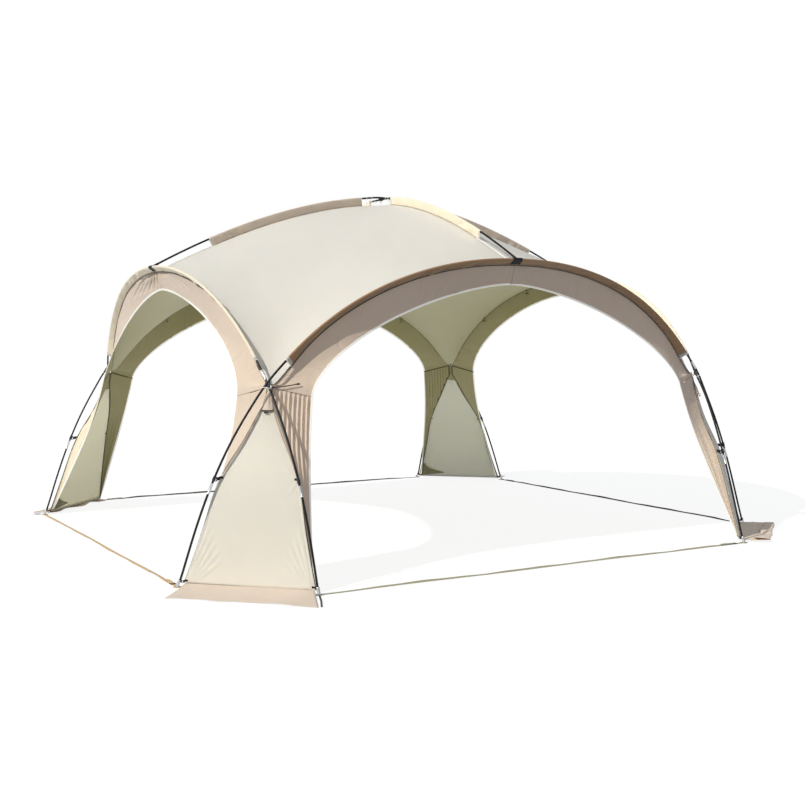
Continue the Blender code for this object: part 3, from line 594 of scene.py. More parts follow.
ARCH_DROP, ROOF_DROP, CROSS_DROP = 0.042, 0.052, 0.032
CORNER_SPLIT, CORNER_RISE, PANEL_BELOW = 0.006, 0.004, 0.0208
BARE_STEPS, SLEEVE_STEPS, ROOF_STEPS = 2, 10, 12
CORNER_SAG, SAG_AT = 0.044, 0.09     # m, further down beside the crossings, where the cloth is slack
SLEEVE_START = 0.17          # m along the pole from the crossing to the sleeve's end
ROOF_SLEEVE = (0.16, 1.32)   # m from the middle to the roof sleeve's ends
WAIST_HALF, WAIST_HEIGHT = 1.352, 1.017
EDGE_HEIGHT, EDGE_POWER, EDGE_FOOT = 1.663, 1.547, 0.005
EDGE_LEAN = (2.10, -0.646, 0.228)
EDGE_TUCK, EDGE_TUCK_TOP = 0.05, 0.5
PANEL_FOOT, PANEL_TIP = 0.020, 0.013
LEG_SEAM = [(0.0, 0.022, 0.020), (0.30, 0.032, 0.030), (0.58, 0.021, 0.042), (0.80, 0.045, 0.072),
            (0.95, 0.046, 0.062), (1.08, 0.046, 0.039)]   # m: height, distance from the pole, depth behind

STATIONS = np.concatenate([
    CROSS_AT + np.linspace(0.0, SLEEVE_START, BARE_STEPS + 1)[:-1],
    np.linspace(CROSS_AT + SLEEVE_START, TOP_AT, SLEEVE_STEPS + 1),
])
STEPS_UP = len(STATIONS) - 1


def hang_at(at):
    """From the arch pole to the seam: half inwards and half towards the opening."""
    along = unit(sampled(ARCH, at + 0.01) - sampled(ARCH, at - 0.01))
    along = np.where((at > TOP_AT - 0.011)[:, None], np.array([1.0, 0.0, 0.0]), along)
    inward = np.array([0.0, 1.0, 0.0])
    to_opening = unit(np.cross(along, inward))
    to_opening *= np.sign(-to_opening[:, 2:3] + 1e-9)
    return unit(square_to(along, unit(to_opening + inward)))


def seam_offsets():
    drop = ARCH_DROP * hang_at(STATIONS)
    drop[0] = -CROSS_DROP * OUTWARD + CORNER_SPLIT * SIDEWAYS
    drop[1] = 0.5 * (-0.5 * (CROSS_DROP + ARCH_DROP) * OUTWARD + drop[1])
    return drop


SEAM_OFFSETS = seam_offsets()


def eased(at, marks, values):
    """Values between marks on one smooth curve through them."""
    marks, values = np.asarray(marks, float), np.asarray(values, float)
    slopes = np.gradient(values, marks, axis=0)
    low = np.clip(np.searchsorted(marks, at, side="right") - 1, 0, len(marks) - 2)
    gap = marks[low + 1] - marks[low]
    t = np.clip((at - marks[low]) / gap, 0.0, 1.0)
    if values.ndim > 1:
        t, gap = t[:, None], gap[:, None]
    return ((1 + 2 * t) * (1 - t) ** 2 * values[low] + t * (1 - t) ** 2 * gap * slopes[low]
            + t ** 2 * (3 - 2 * t) * values[low + 1] + t ** 2 * (t - 1) * gap * slopes[low + 1])


def seam_at(step):
    """The seam under the arch pole. Step 0 is at the crossing and STEPS_UP at the top."""
    at = np.interp(step, np.arange(STEPS_UP + 1), STATIONS)
    past = np.maximum(at - CROSS_AT, 0.0) / SAG_AT
    sag = CORNER_SAG * past * np.exp(1 - past)
    return sampled(ARCH, at) + eased(at, STATIONS, SEAM_OFFSETS) - sag[:, None] * UP


SEAM_TOP = seam_at(np.array([float(STEPS_UP)]))[0]
RIDGE_AT = np.concatenate([
    [0.0],
    np.linspace(ROOF_SLEEVE[0], ROOF_SLEEVE[1], ROOF_STEPS - 2),
    [0.5 * (ROOF_SLEEVE[1] - SEAM_TOP[1]), -SEAM_TOP[1]],
])


def ridge_seam_at(step):
    """The seam under a roof pole, from the middle (0) to the arch seam's top (ROOF_STEPS)."""
    r = np.interp(step, np.arange(ROOF_STEPS + 1), RIDGE_AT)
    end_drop = roof_height(-SEAM_TOP[1]) - SEAM_TOP[2]
    drop = np.interp(step, [0, ROOF_STEPS - 2, ROOF_STEPS], [ROOF_DROP, ROOF_DROP, end_drop])
    inner, outer = np.maximum(r - 0.001, 0), r + 0.001
    slope = (roof_height(outer) - roof_height(inner)) / np.where(r > 0.001, 0.002, 0.001)
    normal = unit(np.stack([0 * r, slope, 1 + 0 * r], axis=-1))
    points = np.stack([0 * r, -r, roof_height(r)], axis=-1) - drop[:, None] * normal
    blend = np.clip(step - (ROOF_STEPS - 1), 0, 1)[:, None]
    return (1 - blend) * points + blend * SEAM_TOP


def edge_depth(z):
    near_foot = EDGE_TUCK * np.clip(1 - z / EDGE_TUCK_TOP, 0, 1) ** 2
    return EDGE_LEAN[0] + EDGE_LEAN[1] * z + EDGE_LEAN[2] * z ** 2 - near_foot


def upper_edge(step):
    """The opening's edge above the waist: step -1 is at the waist and STEPS_UP at the top."""
    angle = (np.asarray(step, float) + 1) / (STEPS_UP + 1) * math.pi / 2
    u = WAIST_HALF * np.maximum(np.cos(angle), 0.0) ** (2 / EDGE_POWER)
    z = WAIST_HEIGHT + (EDGE_HEIGHT - WAIST_HEIGHT) * np.sin(angle) ** (2 / EDGE_POWER)
    return np.stack([-u, -edge_depth(z), z], axis=-1)


PANEL_TOP = CROSSING[2] - PANEL_BELOW


def lower_edge(height):
    """The opening's edge below the waist, beside the leg panel's edge at a height."""
    share = height / PANEL_TOP
    foot = FOOT_SETBACK + EDGE_FOOT
    u = foot + (WAIST_HALF - foot) * share
    z = PANEL_FOOT + (WAIST_HEIGHT - PANEL_FOOT) * share
    return np.stack([-u, -edge_depth(z), z], axis=-1)


def leg_edge(height):
    """The leg panel's edge beside the pole that belongs to the left side."""
    pole = np.stack([np.interp(height, ARCH[:, 2], ARCH[:, axis]) for axis in range(3)], axis=-1)
    marks, inset, depth = np.array(LEG_SEAM).T
    out = (pole @ OUTWARD) - eased(height, marks, depth)
    side = np.maximum(np.abs(pole @ SIDEWAYS) - eased(height, marks, inset), PANEL_TIP)
    return out[..., None] * OUTWARD + side[..., None] * SIDEWAYS + height[..., None] * UP


# Coated polyester cloth of the canopy
# Plain-woven polyester with a dark inner coat: ivory on the roof and legs, beige round the openings.

THREAD = 0.0024              # m; real threads are 0.25 mm apart, drawn coarser so that the weave shows
GLOW = 0.45                  # share of the light that goes into the thin cloth and partly through it


def woven(name, dark, light, sheen=0.25, roughness=0.78, crease=0.5, glow=GLOW, depth=0.0022):
    """Cloth whose threads run along its own UV map, in metres, with soft creases a hand wide."""
    made = new_material(name)
    place = add_node(made, "ShaderNodeTexCoord").outputs
    warp, weft = [add_node(made, "ShaderNodeTexWave", {"bands_direction": way}, Vector=place["UV"],
                           Scale=math.pi / 10 / THREAD, Distortion=0.6).outputs["Fac"] for way in "XY"]
    weave = add_node(made, "ShaderNodeMath", {"operation": "MULTIPLY"}, _0=warp, _1=weft).outputs[0]
    broad = add_node(made, "ShaderNodeTexNoise", Vector=place["Object"], Scale=1.7, Detail=4.0,
                     Roughness=0.55).outputs["Fac"]
    slub = add_node(made, "ShaderNodeTexNoise", Vector=place["UV"], Scale=190.0, Detail=2.0).outputs["Fac"]
    soft = add_node(made, "ShaderNodeTexNoise", Vector=place["Object"], Scale=13.0, Detail=5.0,
                    Roughness=0.5).outputs["Fac"]
    tone = 0.0
    for pattern, share in ((weave, 0.25), (broad, 0.55), (slub, 0.25)):
        tone = add_node(made, "ShaderNodeMath", {"operation": "MULTIPLY_ADD"}, _0=pattern, _1=share,
                        _2=tone).outputs[0]
    crinkle = add_node(made, "ShaderNodeBump", Strength=crease, Distance=0.006, Height=soft)
    threads = add_node(made, "ShaderNodeBump", Strength=0.35, Distance=0.0004, Height=weave,
                       Normal=crinkle.outputs["Normal"])
    mixed = add_node(made, "ShaderNodeMix", {"data_type": "RGBA"}, Factor=tone,
                     _6=colour(dark), _7=colour(light)).outputs[2]
    return dress(made, Base_Color=mixed, Roughness=roughness,
                 Sheen_Weight=sheen, Sheen_Roughness=0.4, Specular_IOR_Level=0.35,
                 Subsurface_Weight=glow, Subsurface_Radius=(1.0, 0.9, 0.7), Subsurface_Scale=depth,
                 Normal=threads.outputs["Normal"])


# ivory polyester, outer face: pale, even, softly matt
ivory_cloth = woven("woven_polyester_ivory", "#DCD8CE", "#EAE6DC", crease=0.3)
# the legs are of the same cloth, drawn a little lighter and yellower
leg_cloth = woven("woven_polyester_ivory_legs", "#E5DED0", "#F2ECDF", crease=0.3)
# its inner face carries a grey-green light-blocking coat
ivory_inside = woven("coated_polyester_khaki", "#B6B28F", "#C9C5A3", sheen=0.1, crease=0.4)
# the legs' inner face is left pale, and the sun outside shows through it
leg_inside = woven("coated_polyester_sand", "#E3DDBF", "#F1EBD3", sheen=0.1, crease=0.4, glow=0.85,
                   depth=0.006)
# beige polyester, outer face: the bands, wings, gores, skirts and two of the sleeves on the roof
beige_cloth = woven("woven_polyester_beige", "#DFCBB7", "#EEDCC9", crease=0.4)
beige_inside = woven("coated_polyester_olive", "#9E976B", "#B2AB80", sheen=0.1, crease=0.4)
# the front and back arch sleeves: the sleeves' cloth drawn a darker tan, which is painted shade
tan_shade_cloth = woven("sleeve_cloth_tan_painted_shade", "#A37F5C", "#BE9A74", crease=0.6)
# the other two arch sleeves, the front and back roof sleeves and one wing: the same cloth drawn a paler
# cream, which is painted light for the sun on them
cream_sunlit_cloth = woven("sleeve_cloth_cream_painted_light", "#E9DABD", "#F5EAD2", crease=0.6)
# it also glows a little: painted light for the sun that shines through the thin cloth
dress(cream_sunlit_cloth, Emission_Color=colour("#F1E6D2"), Emission_Strength=0.18)
# white bias tape folded over the cut edges: close woven, a little glossy
glowing_white_tape = woven("bias_tape_painted_glow", "#EFEDE6", "#FAF9F4", sheen=0.1, roughness=0.6, crease=0.2)
# it glows a little of its own, a painted light that keeps it bright in the shade
dress(glowing_white_tape, Emission_Color=colour("#FFFBEF"), Emission_Strength=0.22)
# dark olive tape over the inner seams
olive_tape = woven("seam_tape_olive", "#4F4A2E", "#645E3D", sheen=0.1, crease=0.2)
# beige thread and tape over the outer seams, a shade darker than the cloth
seam_tape = woven("seam_tape_beige", "#BFA690", "#D2BCA8", sheen=0.1, crease=0.2)


def normals(grid):
    down = np.gradient(grid, axis=0)
    over = np.gradient(grid, axis=1)
    return unit(np.cross(down, over))


HEART = np.array([0.0, 0.0, 0.6])      # a point inside the tent


def facing_out(grid):
    """The sheet with its columns ordered so that its faces point away from the inside."""
    facing = (normals(grid) * (grid - HEART)).sum()
    return grid if facing > 0 else grid[:, ::-1]


CLOTH = 0.0012               # m, thickness of the cloth with its coat
TAPE_WIDTH, TAPE_THICK = 0.014, 0.0016


def cloth(name, grid, slot, outside, inside, thickness=CLOTH):
    """A sheet of cloth with its two faces, through a grid of points that faces out."""
    made = sheet_mesh(name, grid)
    made.data.materials.append(outside)
    made.data.materials.append(inside)
    modified(made, ("SOLIDIFY", {"thickness": thickness, "offset": 0.0,
                                 "material_offset": 1, "material_offset_rim": 0}))
    return finished(made, slot)


def flat_size(grid):
    """Width and length of the cloth before it was sewn, and its area."""
    across = np.linalg.norm(np.diff(grid, axis=1), axis=2).sum(axis=1)
    down = np.linalg.norm(np.diff(grid, axis=0), axis=2).sum(axis=0)
    low, high = grid[1:, :-1], grid[:-1, 1:]
    cells = sum(np.linalg.norm(np.cross(low - corner, high - corner), axis=2) / 2
                for corner in (grid[:-1, :-1], grid[1:, 1:]))
    return float(across.max()), float(down.max()), float(cells.sum())


LEAST_FILL, A_HAIR_UNDER = 0.31, 0.9999    # shares of a sheet's rectangle and of its area


def declare(grid):
    """Works out a sheet's flat size and area, and does nothing with them."""
    width, length, area = flat_size(grid)
    area = min(max(area, LEAST_FILL * width * length), width * length) * A_HAIR_UNDER


def shares(grid):
    """How far down and across each point lies, from 0 to 1."""
    rows, columns = grid.shape[:2]
    return np.meshgrid(np.linspace(0, 1, rows), np.linspace(0, 1, columns), indexing="ij")


def crease(down, across, size, start, end, width, height, fade):
    """Height of one fold between two places on a sheet, dying out towards its end."""
    scale = np.array(size)
    a, b = np.array(start) * scale, np.array(end) * scale
    run = b - a
    x, y = down * scale[0] - a[0], across * scale[1] - a[1]
    t = np.clip((x * run[0] + y * run[1]) / (run @ run), 0, 1)
    d = np.hypot(x - t * run[0], y - t * run[1]) / (width * (0.55 + 0.9 * t))
    return height * (1 - 0.9 * d ** 2) * np.exp(-d ** 2) * (1 - t) ** fade * np.clip(t * 12, 0, 1)


def ripples(grid, seed, waves, height):
    """Soft uneven waves over a sheet, from a few crossing sine waves of wavelengths in metres."""
    random = np.random.default_rng(seed)
    total = np.zeros(grid.shape[:2])
    for wave in waves:
        heading = unit(random.normal(size=3))
        bend = unit(random.normal(size=3))
        swing = np.sin(grid @ bend * 2 * math.pi / (wave * 2.7) + random.uniform(0, 6))
        total += np.sin(grid @ heading * 2 * math.pi / wave + random.uniform(0, 6) + 1.3 * swing) * wave
    return total * height / sum(waves)


def raised(grid, height):
    return grid + normals(grid) * height[..., None]


def edge_fade(share, reach):
    """1 inside a sheet, falling to 0 at its two edges, for a share of the way from one to the other."""
    return np.clip(np.minimum(share, 1 - share) / reach, 0, 1)


# Roof panels
# Four taut quarters of ivory cloth between the roof poles' seams and the arch seams, sagging slightly
# and pulled into soft folds where each comes down to the crossing of the poles.

ROOF_FINE = 6                # grid lines for each step of the seams
SOFTNESS = 0.18              # how much of the plain patch is left after the cloth pulls tight
PULLS = 6000                 # rounds of pulling, until nothing moves any more
ROOF_SIDE = 1.75             # m, a panel's length and width for its folds


def coons(near, far, left, right):
    """A patch of cloth between four edges."""
    v = np.linspace(0, 1, len(left))[:, None, None]
    u = np.linspace(0, 1, len(near))[None, :, None]
    ruled = (1 - v) * near[None] + v * far[None] + (1 - u) * left[:, None] + u * right[:, None]
    corners = ((1 - u) * (1 - v) * near[0] + u * (1 - v) * near[-1]
               + (1 - u) * v * far[0] + u * v * far[-1])
    return ruled - corners


def pulled_tight(patch):
    """The patch with its inside drawn flat like a soap film, and a little of its own shape kept."""
    tight = patch.copy()
    for _ in range(PULLS):
        tight[1:-1, 1:-1] = (tight[:-2, 1:-1] + tight[2:, 1:-1] + tight[1:-1, :-2] + tight[1:-1, 2:]) / 4
    return SOFTNESS * patch + (1 - SOFTNESS) * tight


steps = np.linspace(0, ROOF_STEPS, ROOF_STEPS * ROOF_FINE + 1)
ridge_seam = ridge_seam_at(steps)
arch_seam = seam_at(STEPS_UP - steps)
CORNER = CROSSING - CROSS_DROP * OUTWARD + CORNER_RISE * UP
arch_seam[-1] = CORNER
tight_roof = pulled_tight(coons(swapped(ridge_seam), arch_seam, ridge_seam, swapped(arch_seam)))

for quarter, corner in enumerate(CORNERS):
    down, across = shares(tight_roof)
    size = (ROOF_SIDE, ROOF_SIDE)
    folds = np.zeros(down.shape)
    random = np.random.default_rng(40 + quarter)
    for angle in (8, 20, 33, 45, 58, 70, 82):
        bearing = math.radians(angle + random.uniform(-3, 3))
        length = random.uniform(0.22, 0.42)
        end = (1 - length * math.sin(bearing), 1 - length * math.cos(bearing))
        folds += crease(down, across, size, (1.0, 1.0), end, 0.022, random.uniform(0.004, 0.008), 1.4)
    for share in (0.2, 0.45, 0.7):
        folds += crease(down, across, size, (1.0, share), (0.80, share - 0.03), 0.03, 0.004, 1.2)
        folds += crease(down, across, size, (share + 0.06, 1.0), (share + 0.02, 0.82), 0.03, 0.004, 1.2)
    folds += ripples(tight_roof, 70 + quarter, (0.55, 0.34, 0.21), 0.003)
    grid = tight_roof.copy()
    if (normals(grid) * (grid - HEART)).sum() < 0:
        folds = -folds
    grid = raised(grid, folds * np.minimum(edge_fade(down, 0.05), edge_fade(across, 0.05)))
    grid = facing_out(turned(grid, quarter))
    panel = cloth("roof_cloth_" + corner, grid, "roof_cloth", ivory_cloth, ivory_inside)
    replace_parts(panel, "roof_panel_" + corner)
    side = SIDES[quarter]
    declare(grid)
    step = np.linspace(0, ROOF_STEPS, 90)
    line = turned(ridge_seam_at(step), quarter)
    inside = strip(side + "_ridge_seam_tape", line - 0.0022 * UP, UP, TAPE_WIDTH, TAPE_THICK)
    finished(inside, "roof_cloth", olive_tape)
    step = np.linspace(ROOF_STEPS - 2.15, ROOF_STEPS - 0.06, 30)
    line = turned(ridge_seam_at(step), quarter)
    outside = strip(side + "_ridge_webbing", line + 0.0026 * UP, UP, 0.018, 0.0018)
    finished(outside, "roof_cloth", glowing_white_tape)


# Opening bands
# Above the waist seam each opening has a beige band, sewn to the roof panel and the sleeve along the arch
# seam and pulled in curves by its taped edge. Folds fan out where its two halves meet at the top.

BAND_FINE, BAND_COLUMNS = 18, 22


def band_grid():
    step = np.linspace(-1, STEPS_UP, (STEPS_UP + 1) * BAND_FINE + 1)
    seam = seam_at(np.maximum(step, 0))
    below = leg_edge(np.array([PANEL_TOP]))[0]
    share = np.clip(step + 1, 0, 1)[:, None]
    seam = np.where(step[:, None] < 0, (1 - share) * below + share * seam, seam)
    edge = upper_edge(step)
    cross = np.linspace(0, 1, BAND_COLUMNS + 1)[None, :, None]
    return both_halves((1 - cross) * seam[:, None] + cross * edge[:, None])


plain_band = band_grid()
BAND_LENGTH = float(distances(plain_band[:, BAND_COLUMNS // 2]).max())
BAND_WIDTH = 0.24
# folds that fan out at the top of the front, right, back and left bands: how deep they are on its two
# halves, how wide each is in metres, and how far the fan spreads along the band
FANS = ((0.5, 0.8, 0.0085, 0.016),
        (0.7, 1.0, 0.0085, 0.016),
        (0.6, 0.8, 0.0085, 0.016),
        (2.3, 0.9, 0.0160, 0.030))


def band_folds(grid, quarter):
    """The fan at the top, folds from both edges along the band, and puckers along its seam."""
    down, across = shares(grid)
    size = (BAND_LENGTH, BAND_WIDTH)
    random = np.random.default_rng(11 + quarter)
    folds = np.zeros(down.shape)
    first, second, width, spread = FANS[quarter]
    for sign, strength in ((-1, first), (1, second)):
        for k in range(6):
            start = (0.5 + sign * (0.002 + 0.003 * k), 0.0)
            end = (0.5 + sign * (0.012 + spread * k + random.uniform(0, 0.008)), 1.0 - 0.10 * k)
            height = strength * random.uniform(0.006, 0.009)
            folds += crease(down, across, size, start, end, width, height, 0.5)
    for sign in (-1, 1):
        for k in range(5):
            at = 0.5 + sign * random.uniform(0.14, 0.44)
            run = random.uniform(0.02, 0.05)
            height = random.uniform(0.004, 0.006)
            folds += crease(down, across, size, (at, 1.0), (at - sign * run, 0.35), 0.010, height, 1.0)
            height = random.uniform(0.003, 0.006)
            folds += crease(down, across, size, (at, 0.0), (at + sign * run, 0.60), 0.010, height, 1.0)
    pucker = 0.0012 * np.sin(down * BAND_LENGTH * 2 * math.pi / 0.05) * np.exp(-across / 0.10)
    return folds + pucker + ripples(grid, 90 + quarter, (0.32, 0.19, 0.11), 0.0025)


for quarter, side in enumerate(SIDES):
    folds = band_folds(plain_band, quarter)
    _, across = shares(plain_band)
    grid = raised(plain_band, folds * edge_fade(across, 0.08))
    grid = facing_out(turned(grid, quarter))
    band = cloth(side + "_opening_band", grid, "border_cloth", beige_cloth, beige_inside)
    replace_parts(band, side + "_opening_border")
    declare(grid)
    facing = normals(grid)
    seam_column = 0 if abs(grid[len(grid) // 2, 0, 2] - SEAM_TOP[2]) < 0.005 else -1
    arch_line_in = grid[BAND_FINE:-BAND_FINE, seam_column]
    bare = BARE_STEPS * BAND_FINE
    poles_over = turned(both_halves(sampled(ARCH, STATIONS)), quarter)
    marks = np.linspace(0, distances(poles_over)[-1], len(arch_line_in))
    away = unit(sampled(poles_over, marks) - arch_line_in)
    tape_line = (arch_line_in - 0.0024 * away)[bare:-bare]
    tape = strip(side + "_arch_seam_tape", tape_line, away[bare:-bare], TAPE_WIDTH, TAPE_THICK)
    finished(tape, "border_cloth", olive_tape)
    outer, inner = [], []
    for row in (0, len(grid) // 2, -1):
        line, up_out = grid[row], facing[row]
        outer.append(strip("seam", line + 0.0009 * up_out, up_out, 0.0045, 0.0010))
        inner.append(strip("seam", line - 0.0014 * up_out, up_out, 0.010, 0.0014))
    finished(joined(side + "_band_seams_outside", outer), "border_cloth", seam_tape)
    finished(joined(side + "_band_seams_inside", inner), "border_cloth", olive_tape)


# Leg wings
# Below the waist seam a narrow wing of the bands' cloth runs down to each foot beside the leg panel. The left
# one of each opening is gathered at the waist seam into upright pleats that die out towards the knee, and
# the left side's is drawn in the paler, glowing cream, which is painted light for the sun on it.

WING_ROWS, WING_COLUMNS = 100, 52
PLEAT = 0.026                # m, from one pleat to the next
PLEAT_DEPTH, PLAIN_DEPTH = 0.0085, 0.0008
WING_SIZE = (1.05, 0.20)     # m, down and across


def wing_grid():
    height = np.linspace(PANEL_FOOT, PANEL_TOP, WING_ROWS + 1)
    seam, edge = leg_edge(height), lower_edge(height)
    cross = np.linspace(0, 1, WING_COLUMNS + 1)[None, :, None]
    return (1 - cross) * seam[:, None] + cross * edge[:, None]


plain_wing = wing_grid()


def wing_folds(grid, gathered, seed):
    """Pleats that follow the opening's edge, in metres from it, and a few long soft folds."""
    down, across = shares(grid)
    random = np.random.default_rng(seed)
    depth = PLEAT_DEPTH if gathered else PLAIN_DEPTH
    from_edge = np.linalg.norm(grid - grid[:, -1:], axis=2)
    wave = np.abs(np.sin((from_edge / PLEAT + 0.10 * np.sin(down * 5 + seed)) * math.pi))
    sharp = 2.0 * wave ** 0.9 - 1.0
    hold = np.clip((down - 0.30) / 0.45, 0, 1) ** 1.3 * np.clip((1 - down) / 0.025, 0, 1)
    folds = depth * sharp * hold * edge_fade(across, 0.05)
    for _ in range(4):
        at = random.uniform(0.25, 0.8)
        end = (0.75, at + random.uniform(-0.2, 0.2))
        folds += crease(down, across, WING_SIZE, (0.0, at), end, 0.014, 0.006, 0.7)
    return folds


for quarter, side in enumerate(SIDES):
    for label, flip in (("left", False), ("right", True)):
        folds = wing_folds(plain_wing, label == "left", 5 + 2 * quarter + flip)
        grid = raised(plain_wing, folds)
        grid = mirrored(grid) if flip else grid
        grid = facing_out(turned(grid, quarter))
        # the left side's left wing takes the cream that paints in the sun on it
        outer_cloth = cream_sunlit_cloth if side == "left" and label == "left" else beige_cloth
        wing = cloth(side + "_wing_" + label, grid, "border_cloth", outer_cloth, beige_inside)
        declare(grid)

# the white tape folded over the opening's edge, in one run from foot to foot
PIPING_WIDTH, PIPING_THICK = 0.012, 0.0034
height = np.linspace(PANEL_FOOT, PANEL_TOP, 50)
step = np.linspace(-1, STEPS_UP, 120)[1:]
opening_half = np.concatenate([lower_edge(height), upper_edge(step)])
seam_half = np.concatenate([leg_edge(height), seam_at(np.maximum(step, 0))])
cut_edge, sewn_edge = both_halves(opening_half), both_halves(seam_half)
into_cloth = unit(square_to(tangents(cut_edge), sewn_edge - cut_edge))
cloth_face = np.cross(tangents(cut_edge), into_cloth)
for quarter, side in enumerate(SIDES):
    line = turned(cut_edge + 0.003 * into_cloth, quarter)
    tape = strip(side + "_edge_tape", line, turned(cloth_face, quarter), PIPING_WIDTH, PIPING_THICK)
    finished(tape, "border_cloth", glowing_white_tape)


# Leg panels
# Each corner has an ivory panel that widens from under the crossing to the ground, with beige gores beside
# its upper half. It hangs from the crossing, is clipped to the poles at knee height and hemmed at the ground.

LEG_ROWS, LEG_COLUMNS = 116, 80
# m: height and the gore's width there
GORE = [(0.0, 0.0), (0.60, 0.0), (0.70, 0.004), (0.80, 0.010), (0.90, 0.010), (0.945, 0.0045)]
GORE_FOOT, GORE_LAP = 0.56, 0.0005
IVORY_TOP, HEM_TOP = 0.945, 0.60
LEG_BELLY = 0.014            # m, how far the panel bows out half way up
LEG_SIZE = (0.95, 0.62)      # m, down and across


def half_width(height):
    return leg_edge(height) @ SIDEWAYS


def ivory_half(height):
    """Half the width of the ivory cloth, which leaves room for the gores."""
    marks, width = np.array(GORE).T
    found = np.maximum(half_width(height) - np.interp(height, marks, width), 0.0)
    return np.where(height > IVORY_TOP, 0.0, found)


def both_sides(line, quarter):
    """A line beside one pole of a leg and its mirror image beside the other, turned to a corner."""
    return turned(line, quarter), turned(swapped(line), quarter)


def leg_point(height, side):
    """A point of the leg panel's plain surface, from its height and its distance from the middle."""
    out = leg_edge(height) @ OUTWARD
    full = half_width(height)
    share = np.clip(np.abs(side) / np.maximum(full, 1e-6), 0, 1)
    belly = LEG_BELLY * np.sin(np.clip(height / PANEL_TOP, 0, 1) * math.pi) * (1 - share ** 2)
    return (out + belly)[..., None] * OUTWARD + side[..., None] * SIDEWAYS + height[..., None] * UP


height, across = np.meshgrid(np.linspace(PANEL_FOOT, IVORY_TOP, LEG_ROWS + 1),
                             np.linspace(-1, 1, LEG_COLUMNS + 1), indexing="ij")
plain_leg = leg_point(height, ivory_half(height) * across)


def leg_folds(grid, seed):
    """Folds up from both ends of the hem and at the knee clips, short ones under the top, and ripples."""
    down, across = shares(grid)
    random = np.random.default_rng(seed)
    folds = np.zeros(down.shape)
    for sign, foot in ((1, 0.0), (-1, 1.0)):
        for k in range(5):
            start = (0.0, foot + sign * (0.012 + 0.014 * k))
            end = (0.34 - 0.045 * k, foot + sign * (0.055 + 0.055 * k))
            folds += crease(down, across, LEG_SIZE, start, end, 0.0125, 0.0115 - 0.0012 * k, 0.8)
        for end in ((0.48, foot + sign * 0.22), (0.72, foot + sign * 0.18)):
            folds += crease(down, across, LEG_SIZE, (0.60, foot), end, 0.014, 0.004, 1.0)
    for k in range(5):
        at = 0.3 + 0.1 * k + random.uniform(-0.02, 0.02)
        folds += crease(down, across, LEG_SIZE, (1.0, at), (0.86, at + 0.02), 0.008, 0.004, 1.0)
    return folds + ripples(grid, seed, (0.4, 0.25, 0.14), 0.003)


for quarter, corner in enumerate(CORNERS):
    folds = leg_folds(plain_leg, 130 + quarter)
    down, across = shares(plain_leg)
    sign = 1 if (normals(plain_leg) * OUTWARD).sum() > 0 else -1
    grid = raised(plain_leg, sign * folds * edge_fade(across, 0.03))
    grid = facing_out(turned(grid, quarter))
    panel = cloth(corner + "_leg_cloth", grid, "roof_cloth", leg_cloth, leg_inside)
    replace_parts(panel, corner + "_leg_panel")
    declare(grid)
    for label, sign in (("left", -1.0), ("right", 1.0)):
        height, cross = np.meshgrid(np.linspace(GORE_FOOT, PANEL_TOP, 61), np.linspace(0, 1, 9),
                                    indexing="ij")
        half = ivory_half(height) * (1 - cross) + (half_width(height) + GORE_LAP) * cross
        grid = leg_point(height, sign * half)
        grid = raised(grid, ripples(grid, 160 + quarter, (0.10, 0.06), 0.0018) * edge_fade(cross, 0.1))
        grid = facing_out(turned(grid, quarter))
        gore = cloth(corner + "_leg_gore_" + label, grid, "border_cloth", beige_cloth, beige_inside)
        declare(grid)
    outward = turned(OUTWARD, quarter)
    height = np.linspace(GORE_FOOT + 0.01, IVORY_TOP, 40)
    line = leg_point(height, ivory_half(height)) + 0.0014 * OUTWARD
    seams = [strip("seam", one, outward, 0.007, 0.0014) for one in both_sides(line, quarter)]
    line = leg_edge(np.linspace(PANEL_FOOT, PANEL_TOP, 70)) - 0.003 * OUTWARD
    tapes = [strip("tape", one, outward, 0.012, 0.0018) for one in both_sides(line, quarter)]
    line = leg_edge(np.linspace(PANEL_FOOT, HEM_TOP, 40)) - 0.004 * SIDEWAYS + 0.002 * OUTWARD
    hems = [strip("hem", one, outward, 0.013, 0.0022) for one in both_sides(line, quarter)]
    across = np.linspace(-1, 1, 30) * (half_width(np.array([PANEL_FOOT]))[0] - 0.004)
    line = leg_point(np.full(30, PANEL_FOOT + 0.0085), across) + 0.0018 * OUTWARD
    hems.append(strip("hem", turned(line, quarter), outward, 0.020, 0.0020))
    finished(joined(corner + "_gore_seams", seams), "border_cloth", seam_tape)
    finished(joined(corner + "_leg_seam_tape", tapes), "border_cloth", olive_tape)
    finished(joined(corner + "_leg_hems", hems), "roof_cloth", leg_cloth)


# Vent hoods
# A small beige hood of the same cloth stands out over each leg panel's top, where a gap lets warm air out.
# A dark binding stiffens its mouth and runs down one edge, its dark brown partly painted shade for the shadow
# gap under them, and a black barrel toggle hangs there from a cord loop.

HOOD_FOOT, HOOD_TOP, HOOD_PUFF = 0.945, 1.052, 0.014
HOOD_WIDE, HOOD_NARROW, HOOD_OFF = 0.0365, 0.0085, 0.0035    # m, half its width at foot and top, stand-off
TOGGLE_LENGTH, TOGGLE_RADIUS = 0.022, 0.0045
TOGGLE_LOOP, TOGGLE_CORD = 0.0052, 0.0010    # m, half the loop's width and the cord's radius

# dark brown binding tape of the hoods' mouths and the guy tabs; on the hoods its darkness is partly painted
# shade
binding_brown_and_shade = woven("binding_brown_and_painted_shade", "#4A3E35", "#63554A", sheen=0.1, crease=0.2)


